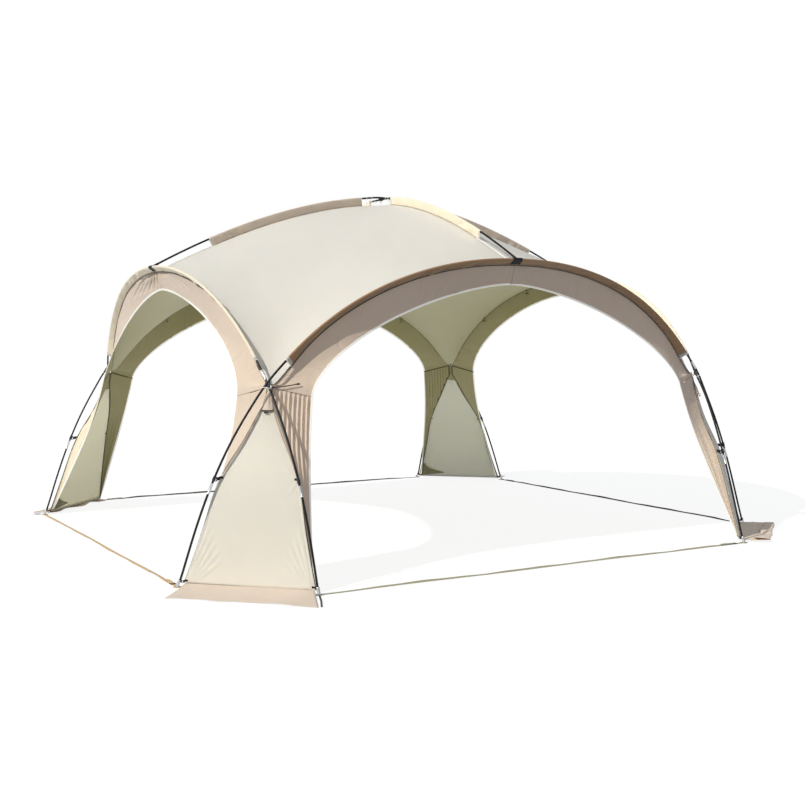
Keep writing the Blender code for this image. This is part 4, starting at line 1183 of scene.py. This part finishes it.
def toggle():
    """A moulded barrel with a waist for its cord, along X, turned from its profile."""
    deselect()
    bpy.ops.mesh.primitive_cylinder_add(vertices=20, radius=TOGGLE_RADIUS, depth=TOGGLE_LENGTH,
                                        rotation=(0, math.pi / 2, 0))
    barrel = bpy.context.object
    bpy.ops.object.transform_apply(rotation=True)
    bpy.ops.object.mode_set(mode="EDIT")
    for cut in (-0.0060, -0.0020, 0.0020, 0.0060):
        bpy.ops.mesh.select_all(action="SELECT")
        bpy.ops.mesh.bisect(plane_co=(cut, 0, 0), plane_no=(1, 0, 0))
    bpy.ops.object.mode_set(mode="OBJECT")
    for vertex in barrel.data.vertices:
        vertex.select = abs(vertex.co.x) < 0.003
    bpy.ops.object.mode_set(mode="EDIT")
    bpy.ops.mesh.select_mode(type="VERT")
    bpy.ops.transform.resize(value=(1.0, 0.66, 0.66))
    bpy.ops.object.mode_set(mode="OBJECT")
    modified(barrel, ("BEVEL", {"width": 0.0012, "segments": 3, "limit_method": "ANGLE"}))
    bpy.ops.object.shade_smooth_by_angle(angle=math.radians(50))
    return barrel


def oval(middle, one, other, count):
    """Points round an oval with these two half axes."""
    angle = np.linspace(0, 2 * math.pi, count + 1)[:-1, None]
    return middle + np.cos(angle) * one + np.sin(angle) * other


def hung_toggle(pattern, top, along, drop):
    """A toggle along a direction on a cord loop that hangs from top."""
    length, outward = drop + TOGGLE_RADIUS, unit(np.cross(UP, along))
    barrel = placed(copied(pattern), top - length * UP, along, np.cross(UP, along))
    loop = oval(top - 0.5 * length * UP, (0.5 * length + 0.0035) * UP, TOGGLE_LOOP * outward, 16)
    return barrel, tube("cord", loop, TOGGLE_CORD, 6, cyclic=True)


toggle_pattern = toggle()
for quarter, corner in enumerate(CORNERS):
    share, across = np.meshgrid(np.linspace(0, 1, 25), np.linspace(-1, 1, 25), indexing="ij")
    height = HOOD_FOOT + (HOOD_TOP - HOOD_FOOT) * share
    grid = leg_point(height, (HOOD_WIDE * (1 - share) + HOOD_NARROW * share) * across)
    puff = HOOD_OFF + HOOD_PUFF * (1 - share) ** 1.2 * (1 - across ** 2) ** 0.7
    crumple = 0.0016 * np.sin(across * 7 + quarter) * np.sin(share * 3)
    crumple += ripples(grid, 500 + quarter, (0.05, 0.03), 0.0014)
    grid = facing_out(turned(grid + (puff + crumple)[..., None] * OUTWARD, quarter))
    hood = cloth(corner + "_vent_hood", grid, "border_cloth", beige_cloth, beige_inside)
    declare(grid)
    mouth = grid[0] if grid[0, 0, 2] < grid[-1, 0, 2] else grid[-1]
    # the dark binding is partly painted shade, for the gap under the hood's mouth and beside its one edge
    binding = [strip("binding", mouth + 0.0012 * UP, turned(OUTWARD, quarter), 0.0055, 0.0028)]
    edge = grid[:, 0] if turned(grid[0, 0], -quarter) @ SIDEWAYS < 0 else grid[:, -1]
    binding.append(strip("binding", edge, turned(OUTWARD, quarter), 0.0040, 0.0024))
    finished(joined(corner + "_vent_binding", binding), "border_cloth", binding_brown_and_shade)
    hang = mouth[len(mouth) // 2] - 0.001 * UP + 0.002 * turned(OUTWARD, quarter)
    barrel, cord = hung_toggle(toggle_pattern, hang, turned(SIDEWAYS, quarter), 0.006)
    barrel.name = barrel.data.name = corner + "_vent_toggle"
    cord.name = cord.data.name = corner + "_vent_cord"
    finished(barrel, "clips", moulded_nylon)
    finished(cord, "black_webbing", black_webbing)


# Seam flaps
# Where the cloth leaves the poles beside each crossing, the sewn edges stand up as narrow flaps, along the
# arch seams to under the sleeves and down the legs; their grey-brown is painted shade, for the shadow along
# these seams. A brown guy tab is sewn in at the right.

FLAP_THICK = 0.0018
# where the front left guy tab ends, and which way it bows out on its way there
TAB_END, TAB_SAG = np.array([-1.416, -1.645, 1.092]), np.array([0.0, -1.0, -0.3])
# grey-brown painted shade on the flaps, for the shadow that lies along the seams
flap_shade_cloth = woven("seam_flap_painted_shade", "#908681", "#A79D97", sheen=0.1, crease=0.3)

for quarter, corner in enumerate(CORNERS):
    flaps = []
    for swap in (False, True):
        step = np.linspace(0.15, 4.6, 60)
        line = seam_at(step)
        stand = unit(sampled(ARCH, np.interp(step, np.arange(STEPS_UP + 1), STATIONS)) - line)
        wide = np.interp(step, [0.15, 0.8, 2.0, 3.0, 4.6], [0.005, 0.010, 0.010, 0.005, 0.003])
        face = np.cross(tangents(line), stand)
        runs = [(line + stand * wide[:, None] * 0.5 + 0.0015 * OUTWARD, face, wide)]
        height = np.linspace(0.62, PANEL_TOP - 0.004, 60)
        wide = np.interp(height, [0.62, 0.80, 0.95, PANEL_TOP], [0.003, 0.010, 0.013, 0.006])
        wide = wide * (0.4 if swap else 1.0)
        line = leg_edge(height) + (0.5 * wide + 0.001)[:, None] * (0.35 * OUTWARD + 0.94 * SIDEWAYS)
        face = np.broadcast_to(0.94 * OUTWARD - 0.35 * SIDEWAYS, line.shape)
        runs.append((line + 0.0022 * OUTWARD, face, wide))
        for line, face, wide in runs:
            line, face = both_sides(line, quarter)[swap], both_sides(face, quarter)[swap]
            flaps.append(strip("flap", line, face, wide, FLAP_THICK))
    # the flaps' grey-brown is painted shade
    finished(joined(corner + "_seam_flaps", flaps), "border_cloth", flap_shade_cloth)

    start = leg_edge(np.array([PANEL_TOP]))[0] + 0.012 * OUTWARD + 0.006 * SIDEWAYS
    share = np.linspace(0, 1, 30)[:, None]
    line = start * (1 - share) + TAB_END * share + 0.006 * np.sin(share * math.pi) * TAB_SAG
    wide = np.interp(share[:, 0], [0, 0.86, 0.90, 1], [0.0065, 0.0065, 0.012, 0.012])
    tab = strip(corner + "_guy_tab", turned(line, quarter), turned((0, -0.93, 0.36), quarter), wide, 0.0020)
    finished(tab, "webbing", binding_brown_and_shade)


# Ground skirts
# A beige flap sewn to each leg panel's hem lies out over the ground, where it keeps wind and rain out.
# It is loose: its outer edge curls and waves a little.

SKIRT_DEPTH, SKIRT_INSIDE, SKIRT_SEAT, SKIRT_ROLL = 0.30, 0.004, 0.0006, 0.0030
SKIRT_REST, SKIRT_RISE = 0.0013, 0.0171


def skirt_grid(seed, lift, flares, reach):
    """Rows of a skirt from its seam outwards. Cloth beyond reach, at its two ends, is folded back over it."""
    edge = leg_edge(np.array([PANEL_FOOT]))[0]
    start, inner_half = edge @ OUTWARD, edge @ SIDEWAYS - SKIRT_INSIDE
    out_share, side_share = np.meshgrid(np.linspace(0, 1, 31), np.linspace(-1, 1, 81), indexing="ij")
    run = out_share * SKIRT_DEPTH
    lies = reach[0] + (reach[1] - reach[0]) * (0.5 + 0.5 * side_share)
    rolled = np.maximum(run - lies, 0.0)
    turn = np.minimum(rolled / SKIRT_ROLL, math.pi)
    back = np.maximum(rolled - math.pi * SKIRT_ROLL, 0.0)
    out = start + SKIRT_SEAT + np.minimum(run, lies) + SKIRT_ROLL * np.sin(turn) - back
    flare = np.where(side_share < 0, flares[0], flares[1])
    half = inner_half + flare * out_share * np.abs(side_share)
    random = np.random.default_rng(seed)
    wave = np.zeros(out.shape)
    for _ in range(5):
        wave += np.sin(side_share * random.uniform(3, 13) + random.uniform(0, 6) + 2 * out_share)
    wave = np.clip(0.5 + wave / 5, 0, 1.4)
    height = (SKIRT_REST + SKIRT_RISE * (1 - out_share) ** 2.2 + lift * wave * out_share ** 1.5
              + 0.25 * lift * wave * (1 - out_share) * out_share * 4 + SKIRT_ROLL * (1 - np.cos(turn)))
    drift = 0.012 * np.sin(side_share * 7 + seed) * out_share ** 3
    return ((out + drift)[..., None] * OUTWARD + (half * side_share)[..., None] * SIDEWAYS
            + height[..., None] * UP)


# m: how far each corner's skirt lifts, flares at its two ends and lies out there before it is folded back
SKIRT_LIES = {"front_left": (0.006, (-0.030, 0.130), (0.31, 0.31)),
              "front_right": (0.022, (0.010, 0.030), (0.19, 0.235)),
              "back_right": (0.010, (0.020, 0.020), (0.31, 0.31)),
              "back_left": (0.010, (0.010, 0.010), (0.12, 0.14))}
for quarter, corner in enumerate(CORNERS):
    grid = turned(skirt_grid(21 + quarter, *SKIRT_LIES[corner]), quarter)
    if normals(grid)[..., 2].sum() < 0:
        grid = grid[:, ::-1]
    skirt = cloth(corner + "_skirt_cloth", grid, "border_cloth", beige_cloth, beige_cloth)
    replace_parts(skirt, corner + "_skirt")
    declare(grid)


# Arch sleeves
# Cloth loops sewn into the arch seams, all of one cloth, drawn a darker tan at the front and back, which is
# painted shade, and a paler cream that glows a little at the left and right, which is painted light.
# The pole runs in the fold of each, and the rest stands as a flat double web between the pole and the
# canopy. Slack cloth ruckles it across.

SLEEVE_RING = 10             # points round the fold
FOLD_RADIUS = 0.0080
SLEEVE_SLACK, SLEEVE_THICK = 0.0004, 0.0010
ARCH_HEM, ROOF_HEM = 0.024, 0.012   # m, width of the hems at the sleeves' ends
ARCH_RIM, ROOF_RIM = 0.0019, 0.0017 # m, radius of the rolled rims there
# pale lining folded over at the sleeves' ends
hem_cloth = woven("polyester_lining_grey", "#C9C3BA", "#DAD5CD", crease=0.3)


def loop_grid(poles, seam, ruckle):
    """Rings of a sleeve: round the pole, then down both faces of the web to the seam."""
    along = tangents(poles)
    hang = square_to(along, seam - poles)
    depth = np.linalg.norm(hang, axis=1)
    hang = unit(hang)
    side = np.cross(along, hang)
    fold = np.radians(np.linspace(-90, 90, SLEEVE_RING))
    web = np.array([0.35, 0.6, 0.85])
    bulge = FOLD_RADIUS + SLEEVE_SLACK
    rows = []
    for k in range(len(poles)):
        ring = [poles[k] + bulge * (math.sin(a) * side[k] - math.cos(a) * hang[k]) for a in fold]
        right_face = [poles[k] + depth[k] * w * hang[k] + (bulge * (1 - w) ** 0.8 + ruckle[k, i]) * side[k]
                      for i, w in enumerate(web)]
        tail = [poles[k] + depth[k] * hang[k]]
        left_face = [poles[k] + depth[k] * w * hang[k] - (bulge * (1 - w) ** 0.8 - ruckle[k, i + 3]) * side[k]
                     for i, w in enumerate(web)]
        rows.append(ring + right_face + tail + left_face[::-1])
    return np.array(rows)


def ruckles(at, seed, strength):
    """Sideways waves of the web's two faces, stronger where the sleeve is slack."""
    random = np.random.default_rng(seed)
    total = np.zeros((len(at), 6))
    for wave in (0.21, 0.12, 0.075, 0.043):
        phase = random.uniform(0, 6, 2)
        lean = random.uniform(0.3, 0.9)
        for i in range(6):
            total[:, i] += np.sin(at * 2 * math.pi / wave + phase[i // 3] + lean * (i % 3)) * wave * 0.02
    return total * strength[:, None]


def sleeve(name, grid, slot, material, hem, rim):
    """A sleeve's cloth, open at both ends, with a pale hem and a rolled rim at each end."""
    made = sheet_mesh(name + "_cloth", grid, closed=True)
    columns = grid.shape[1]
    along = distances(grid[:, 0])
    for face in made.data.polygons:
        row = face.index // columns
        face.material_index = int(along[row + 1] < hem or along[row] > along[-1] - hem)
    middle = grid.mean(axis=1, keepdims=True)
    facing = np.cross(np.gradient(grid, axis=0), np.roll(grid, -1, axis=1) - np.roll(grid, 1, axis=1))
    if (facing * (grid - middle)).sum() < 0:
        made.data.flip_normals()
    made.data.materials.append(material)
    made.data.materials.append(hem_cloth)
    modified(made, ("SOLIDIFY", {"thickness": SLEEVE_THICK, "offset": -1.0}))
    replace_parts(finished(made, slot), name)
    rims = [tube("rim", grid[row], rim, 8, cyclic=True) for row in (0, -1)]
    finished(joined(name + "_hems", rims), "border_cloth", glowing_white_tape)


for quarter, side in enumerate(SIDES):
    half_at = np.linspace(CROSS_AT + SLEEVE_START, TOP_AT, 150)
    poles = both_halves(pole_at(half_at, over_under(quarter)))
    seam = both_halves(seam_at(np.interp(half_at, STATIONS, np.arange(STEPS_UP + 1))))
    at = distances(poles)
    left_slack = np.exp(-((at - at[-1] * 0.36) / 0.30) ** 2)
    right_slack = np.exp(-((at - at[-1] * 0.775) / 0.35) ** 2)
    strength = 0.45 + 1.3 * left_slack + 0.9 * right_slack
    grid = turned(loop_grid(poles, seam, ruckles(at, 300 + quarter, strength)), quarter)
    # front and back sleeves take the tan that paints shade, left and right the cream that paints light
    sleeve(side + "_arch_sleeve", grid, "sleeve_cloth", tan_shade_cloth if quarter % 2 == 0 else cream_sunlit_cloth,
           ARCH_HEM, ARCH_RIM)


# Roof sleeves
# Cloth loops sewn into the roof seams hold the roof poles from near the middle almost to the arches. They are
# beige at the left and right, and drawn in the paler, glowing cream at the front and back, which is painted
# light.

for quarter, side in enumerate(SIDES):
    step = np.linspace(1, ROOF_STEPS - 2, 130)
    r = np.interp(step, np.arange(ROOF_STEPS + 1), RIDGE_AT)
    poles = roof_pole_at(-r, -over_under(quarter))
    at = distances(poles)
    strength = 0.25 + 0.9 * np.exp(-((at - at[-1] * 0.86) / 0.16) ** 2) + 0.5 * np.exp(-(at / 0.12) ** 2)
    grid = turned(loop_grid(poles, ridge_seam_at(step), ruckles(at, 340 + quarter, strength)), quarter)
    # the front and back roof sleeves take the cream that paints light
    sleeve(side + "_roof_sleeve", grid, "border_cloth", cream_sunlit_cloth if quarter % 2 == 0 else beige_cloth,
           ROOF_HEM, ROOF_RIM)


# Pole pockets
# A black webbing saddle sits over the sleeve at the top of each arch. The end of the roof pole plugs into it
# from behind, and its two tails are sewn into the arch seam.

POCKET_HALF, POCKET_TAIL, POCKET_MOUTH, POCKET_THICK = 0.033, 0.034, 0.0052, 0.0020

for quarter, side in enumerate(SIDES):
    over = over_under(quarter)
    reach = np.linspace(-POCKET_HALF, POCKET_HALF, 15)
    half = pole_at(TOP_AT - np.abs(reach), over)
    centres = np.where(reach[:, None] > 0, mirrored(half), half)
    hang = unit((SEAM_TOP - pole_at(np.array([TOP_AT]), over)[0]) * (0, 1, 1))
    across = np.cross([1.0, 0.0, 0.0], hang)
    radius = FOLD_RADIUS + 0.0014 + POCKET_THICK / 2
    down = np.array([0.2, 0.4, 0.6, 0.8, 1.0])[:, None]
    spread = (POCKET_MOUTH + (radius - POCKET_MOUTH) * (1 - down) ** 1.5) * across
    round_top = np.radians(np.linspace(-90, 90, 15))[:, None]
    ring = np.concatenate([(POCKET_TAIL * down * hang - spread)[::-1],
                           radius * (np.sin(round_top) * across - np.cos(round_top) * hang),
                           POCKET_TAIL * down * hang + spread])
    grid = turned(centres[:, None] + ring, quarter)
    if (normals(grid) * (grid - grid.mean(axis=1, keepdims=True))).sum() < 0:
        grid = grid[::-1]
    saddle = cloth(side + "_pole_saddle", grid, "black_webbing", black_webbing, black_webbing, POCKET_THICK)
    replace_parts(saddle, side + "_pole_pocket")
    width, length, _ = flat_size(grid)
    plug = roof_pole_at(-(TOP_SETBACK - np.array([0.050, 0.046, 0.020, 0.0155])), -over)
    cap = tube(side + "_roof_pole_cap", turned(plug, quarter), POLE_RADIUS * 1.18, 16, [0.86, 1.0, 1.0, 0.86])
    finished(cap, "clips", moulded_nylon)


# Crossing clips
# A grey nylon block holds the two poles where they cross above each leg. Both snap into
# bores through it, and a cord loop under it ties the canopy's corner to them.

# the same glass-filled nylon as the other mouldings, drawn grey
grey_nylon = hard_skin("moulded_nylon_grey", "#4E4B4D", "#6A6668", GRAIN, RUBBED, GRAIN_BUMP, Roughness=0.5)
# m out, sideways and up from the crossing
CROSS_BLOCK = ((-0.0180, -0.0125, -0.0165), (0.0065, 0.0125, 0.0165))
BORE_GAP, BLOCK_ROUND = 0.0004, 0.0035
CORD_BELOW, CORD_RADIUS = 0.030, 0.0018


def bored_block(name, centre, axes, low, high, lines):
    """A moulded block with softened edges and a snug bore along each line."""
    low, high = np.array(low), np.array(high)
    deselect()
    bpy.ops.mesh.primitive_cube_add(size=1)
    block = bpy.context.object
    block.name = block.data.name = name
    block.scale, block.location = high - low, (low + high) / 2
    bpy.ops.object.transform_apply(location=True, scale=True)
    bpy.ops.object.mode_set(mode="EDIT")
    bpy.ops.mesh.select_all(action="SELECT")
    bpy.ops.mesh.bevel(offset=BLOCK_ROUND, segments=4, affect="EDGES")
    bpy.ops.object.mode_set(mode="OBJECT")
    placed(block, centre, axes[0], axes[1])
    for line in lines:
        bore = tube("bore", line, POLE_RADIUS + BORE_GAP, 20)
        cut = block.modifiers.new("bore", "BOOLEAN")
        cut.operation, cut.solver, cut.object = "DIFFERENCE", "EXACT", bore
        activate(block)
        bpy.ops.object.modifier_apply(modifier=cut.name)
        bpy.data.objects.remove(bore)
    activate(block)
    bpy.ops.object.shade_smooth_by_angle(angle=math.radians(35))
    return block


for quarter, corner in enumerate(CORNERS):
    over = over_under(quarter)
    near = np.linspace(CROSS_AT - 0.05, CROSS_AT + 0.05, 11)
    own, other = pole_at(near, over), swapped(pole_at(near, -over))
    axes = (turned(OUTWARD, quarter), turned(SIDEWAYS, quarter))
    block = bored_block(corner + "_crossing_block", turned(CROSSING, quarter), axes, *CROSS_BLOCK,
                        (turned(own, quarter), turned(other, quarter)))
    finished(block, "clips", grey_nylon)
    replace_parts(block, corner + "_crossing_clip")
    below = CROSS_AT - CORD_BELOW
    a, b = pole_at(below, over), swapped(pole_at(below, -over))
    middle, run = (a + b) / 2, unit(b - a)
    rise = sampled(ARCH, below + 0.01) - sampled(ARCH, below)
    out = unit(np.cross(run, unit(rise + swapped(rise))))
    long, wide = np.linalg.norm(b - a) / 2 + POLE_RADIUS + 0.002, POLE_RADIUS + 0.0026
    loop = oval(middle, long * run, wide * out, 32)
    tie = tube(corner + "_crossing_cord", turned(loop, quarter), CORD_RADIUS, 8, cyclic=True)
    finished(tie, "webbing", glowing_white_tape)


# Leg clips
# Moulded C-clips snap onto both poles of each leg at knee height and just above the feet. A black webbing tab
# threads through the slot of each and is sewn to the leg panel's edge.

CLIP_WALL, CLIP_BAR, TAB_THICK = 0.0024, 0.0130, 0.0022


def pole_clip(length):
    """A C-clip on a pole that runs along Z, closed towards +X where its slotted bar stands out."""
    inner = POLE_RADIUS + 0.0003
    centre, start = inner + CLIP_WALL / 2, math.radians(145)
    deselect()
    bpy.ops.mesh.primitive_plane_add(size=1, location=(centre * math.cos(start), centre * math.sin(start), 0),
                                     rotation=(math.pi / 2, 0, start))
    ring = bpy.context.object
    ring.scale = (CLIP_WALL, length, 1)
    bpy.ops.object.transform_apply(location=True, rotation=True, scale=True)
    bpy.ops.object.mode_set(mode="EDIT")
    bpy.ops.mesh.select_all(action="SELECT")
    bpy.ops.mesh.spin(steps=28, angle=math.radians(290), center=(0, 0, 0), axis=(0, 0, -1))
    welded(1e-6)
    deselect()
    bpy.ops.mesh.primitive_plane_add(size=1, location=(inner + CLIP_WALL + 0.0055, 0, 0),
                                     rotation=(math.pi / 2, 0, 0))
    bar = bpy.context.object
    bar.scale = (CLIP_BAR, length * 0.96, 1)
    bpy.ops.object.transform_apply(location=True, rotation=True, scale=True)
    bpy.ops.object.mode_set(mode="EDIT")
    bpy.ops.mesh.select_all(action="SELECT")
    bpy.ops.mesh.inset(thickness=min(0.0030, length * 0.2))
    bpy.ops.mesh.delete(type="FACE")
    bpy.ops.object.mode_set(mode="OBJECT")
    modified(bar, ("SOLIDIFY", {"thickness": 0.0036, "offset": 0.0}))
    clip = joined("clip", [ring, bar])
    modified(clip, ("BEVEL", {"width": 0.0006, "segments": 2, "limit_method": "ANGLE"}))
    bpy.ops.object.shade_smooth_by_angle(angle=math.radians(40))
    return clip


# height above the ground, the clip and its tab's width
CLIPS = ((0.58, pole_clip(0.028), 0.019), (0.033, pole_clip(0.014), 0.011))
for quarter, corner in enumerate(CORNERS):
    clips, tabs = [], []
    for swap in (False, True):
        for level, pattern, width in CLIPS:
            at = np.interp(level, ARCH[:, 2], ALONG) + np.array([-0.01, 0.0, 0.01])
            over = over_under(quarter) * (1 if swap else -1)
            line = pole_at(at, over) if swap else swapped(pole_at(at, over))
            edge = leg_edge(np.array([level]))[0]
            onto = edge - 0.016 * SIDEWAYS + 0.0035 * OUTWARD
            edge = edge + 0.0045 * OUTWARD
            if swap:
                edge, onto = swapped(edge), swapped(onto)
            lift = unit(line[2] - line[0])
            towards = unit(square_to(lift, edge - line[1]))
            flat = turned(np.cross(lift, towards), quarter)
            clips.append(placed(copied(pattern), turned(line[1], quarter), turned(towards, quarter), flat))
            slot = line[1] + 0.0165 * towards
            path = np.concatenate([np.linspace(slot, edge, 9), np.linspace(edge, onto, 5)[1:]])
            tabs.append(strip("tab", turned(path, quarter), flat, width, TAB_THICK))
    finished(joined(corner + "_leg_clips", clips), "clips", moulded_nylon)
    finished(joined(corner + "_leg_clip_tabs", tabs), "black_webbing", black_webbing)
for _, pattern, _ in CLIPS:
    bpy.data.objects.remove(pattern)


# Centre tie
# Over the middle of the roof a small nylon block holds the two crossing roof poles, and white elastic loops
# at either side tie the canopy up to them.

TIE_HALF, TIE_TOP, TIE_FOOT = 0.013, 0.012, -0.0165
ELASTIC_RADIUS, ELASTIC_LEAN = 0.0014, 0.004
tie_low = ridge_seam_at(np.array([0.0]))[0, 2] - CENTRE_HEIGHT + 0.0012
near = np.linspace(-0.04, 0.04, 9)
block = bored_block("block", np.array([0.0, 0.0, CENTRE_HEIGHT]), np.eye(3)[:2],
                    (-TIE_HALF, -TIE_HALF, TIE_FOOT), (TIE_HALF, TIE_HALF, TIE_TOP),
                    (roof_pole_at(near, -1.0), turned(roof_pole_at(near, 1.0), 1)))
block.data.materials.append(moulded_nylon)
drop = np.linspace(TIE_FOOT + 0.002, tie_low + 0.0012, 8)[:, None] * UP + (0, 0, CENTRE_HEIGHT)
ends = []
for sign in (-1.0, 1.0):
    end = strip("tab", drop + (sign * 0.004, 0, 0), (1, 0, 0), 0.018, 0.0016)
    end.data.materials.append(glowing_white_tape)
    ends.append(end)
centre_block = finished(joined("centre_block", [block] + ends), "clips")
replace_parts(centre_block, "centre_tie")
loops = []
for quarter in range(4):
    for reach, lean in ((0.075, 1), (0.120, -1)):
        over = -over_under(quarter)
        outer, pole, inner = roof_pole_at(np.array([-0.005, 0.0, 0.005]) - reach, over)
        slope = unit(outer - inner)
        angle = np.linspace(0, 2 * math.pi, 25)[:-1, None]
        half = (ROOF_DROP + POLE_RADIUS) / 2
        middle = pole + (POLE_RADIUS + 0.002 - half) * UP
        narrow = (POLE_RADIUS + 0.0022) * (0.62 + 0.38 * np.cos(angle))
        loop = middle + np.cos(angle) * half * UP + np.sin(angle) * narrow * np.cross(slope, UP)
        loop = loop + ELASTIC_LEAN * lean * (1 - np.cos(angle)) * slope
        loops.append(tube("elastic", turned(loop, quarter), ELASTIC_RADIUS, 8, cyclic=True))
finished(joined("centre_elastic_loops", loops), "border_cloth", glowing_white_tape)


# Curtain toggles
# Black barrel toggles hang from loops on the inside of the arch seams, for tying up rolled curtains.

TOGGLE_SPOTS, TOGGLE_DROP = (0.51, 1.08), 0.034    # m from the middle of each side, and the cord's length
for quarter, side in enumerate(SIDES):
    barrels, cords = [], []
    for reach in TOGGLE_SPOTS:
        for sign in (-1.0, 1.0):
            half = seam_at(np.linspace(0, STEPS_UP, 200))
            point = half[np.argmin(np.abs(np.abs(half[:, 0]) - reach))]
            top = turned(point * (-sign, 1.0, 1.0) + (0.0, 0.020, 0.002), quarter)
            barrel, cord = hung_toggle(toggle_pattern, top, turned((0.3, 1.0, 0.0), quarter), TOGGLE_DROP)
            barrels.append(barrel)
            cords.append(cord)
    finished(joined(side + "_curtain_toggles", barrels), "clips", moulded_nylon)
    finished(joined(side + "_curtain_toggle_cords", cords), "black_webbing", black_webbing)
bpy.data.objects.remove(toggle_pattern)


# Corner pouches
# On the inside of each leg panel a three-sided olive pouch is sewn into one lower corner, for a sand or stone
# weight. Its mouth gapes a little.

# heavier olive polyester, evenly dyed
olive_cloth = woven("woven_polyester_olive", "#7F7B52", "#989369", sheen=0.15, crease=0.6)

POUCH_TALL, POUCH_WIDE = 0.130, 0.225            # m, beside the pole and along the hem
POUCH_OFF, POUCH_BELLY, POUCH_GAPE = 0.004, 0.014, 0.008     # m from the leg panel

for quarter, corner in enumerate(CORNERS):
    rise, inward = np.meshgrid(np.linspace(0, 1, 22), np.linspace(0, 1, 22), indexing="ij")
    height = PANEL_FOOT + 0.004 + POUCH_TALL * rise * (1 - 0.45 * inward) + 0.030 * inward * (1 - rise)
    reach = 0.006 + inward * (POUCH_WIDE * (1 - 0.30 * rise) * np.clip(1.15 - rise, 0.12, 1.0) ** 0.5)
    bulge = POUCH_OFF + POUCH_BELLY * np.sin(inward * math.pi) * np.sin(rise * math.pi)
    bulge = (bulge + POUCH_GAPE * inward * rise)[..., None]
    grid = turned(leg_point(height, half_width(height) - reach) - bulge * OUTWARD, quarter)
    if (normals(grid) * turned(-OUTWARD, quarter)).sum() < 0:
        grid = grid[:, ::-1]
    pouch = cloth(corner + "_corner_pouch", grid, "border_cloth", olive_cloth, olive_cloth)
    declare(grid)


# The floor and the light
# A plain pale floor under studio light: one key from the left, a soft cool fill from all round that is
# strongest above, and a low reflector inside that stands for the light a pale floor throws up.

deselect()
bpy.ops.mesh.primitive_plane_add(size=160, location=(0, 0, -0.0005))
floor = bpy.context.object
floor.name = "floor"
floor_paint = new_material("floor_paint_white")
dress(floor_paint, Base_Color=colour("#777776"), Roughness=0.9, Emission_Color=(1, 1, 1, 1),
      Emission_Strength=0.85)
floor.data.materials.append(floor_paint)
floor.visible_diffuse = False

KEY_FROM, KEY_COLOUR = (-0.76, -0.11, 0.642), (1.0, 0.97, 0.90)
key = bpy.data.objects.new("key_light", bpy.data.lights.new("key_light", "SUN"))
key.data.energy, key.data.angle, key.data.color = 2.4, math.radians(0.9), KEY_COLOUR
key.rotation_mode = "QUATERNION"
key.rotation_quaternion = Vector(KEY_FROM).to_track_quat("Z", "Y")
BOUNCE_SIZE, BOUNCE_WATTS, BOUNCE_COLOUR = 3.0, 26.0, (1.0, 0.98, 0.93)
bounce = bpy.data.objects.new("bounce_light", bpy.data.lights.new("bounce_light", "AREA"))
bounce.data.shape, bounce.data.size = "SQUARE", BOUNCE_SIZE
bounce.data.energy, bounce.data.color = BOUNCE_WATTS, BOUNCE_COLOUR
bounce.location, bounce.rotation_euler = (0, 0, 0.01), (math.pi, 0, 0)
bounce.visible_camera = False
for lamp in (key, bounce):
    bpy.context.scene.collection.objects.link(lamp)

# the fill is strongest from above and a little to the left, and weakest from the opposite side
FILL, FILL_LEAN, FILL_FROM, FILL_COLOUR = 0.35, 0.30, (-0.35, 0.10, 0.93), (0.93, 0.98, 1.08, 1.0)
world = bpy.data.worlds.new("studio")
bpy.context.scene.world = world
world.use_nodes = True
links, fill = world.node_tree.links, world.node_tree.nodes["Background"]
fill.inputs["Color"].default_value = FILL_COLOUR
heading = add_node(world, "ShaderNodeTexCoord").outputs["Generated"]
share = add_node(world, "ShaderNodeVectorMath", {"operation": "DOT_PRODUCT"}, _0=heading, _1=FILL_FROM)
bright = add_node(world, "ShaderNodeMath", {"operation": "MULTIPLY_ADD"}, _0=share.outputs["Value"],
                  _1=FILL * FILL_LEAN, _2=FILL).outputs[0]
links.new(bright, fill.inputs["Strength"])
# the camera sees plain white behind the tent
white = add_node(world, "ShaderNodeBackground", Color=(1.0, 1.0, 1.0, 1.0)).outputs[0]
rays = add_node(world, "ShaderNodeLightPath").outputs["Is Camera Ray"]
mix = add_node(world, "ShaderNodeMixShader", _0=rays, _1=fill.outputs[0], _2=white)
links.new(mix.outputs[0], world.node_tree.nodes["World Output"].inputs[0])
bpy.context.scene.view_settings.view_transform = "Standard"


bpy.context.view_layer.update()
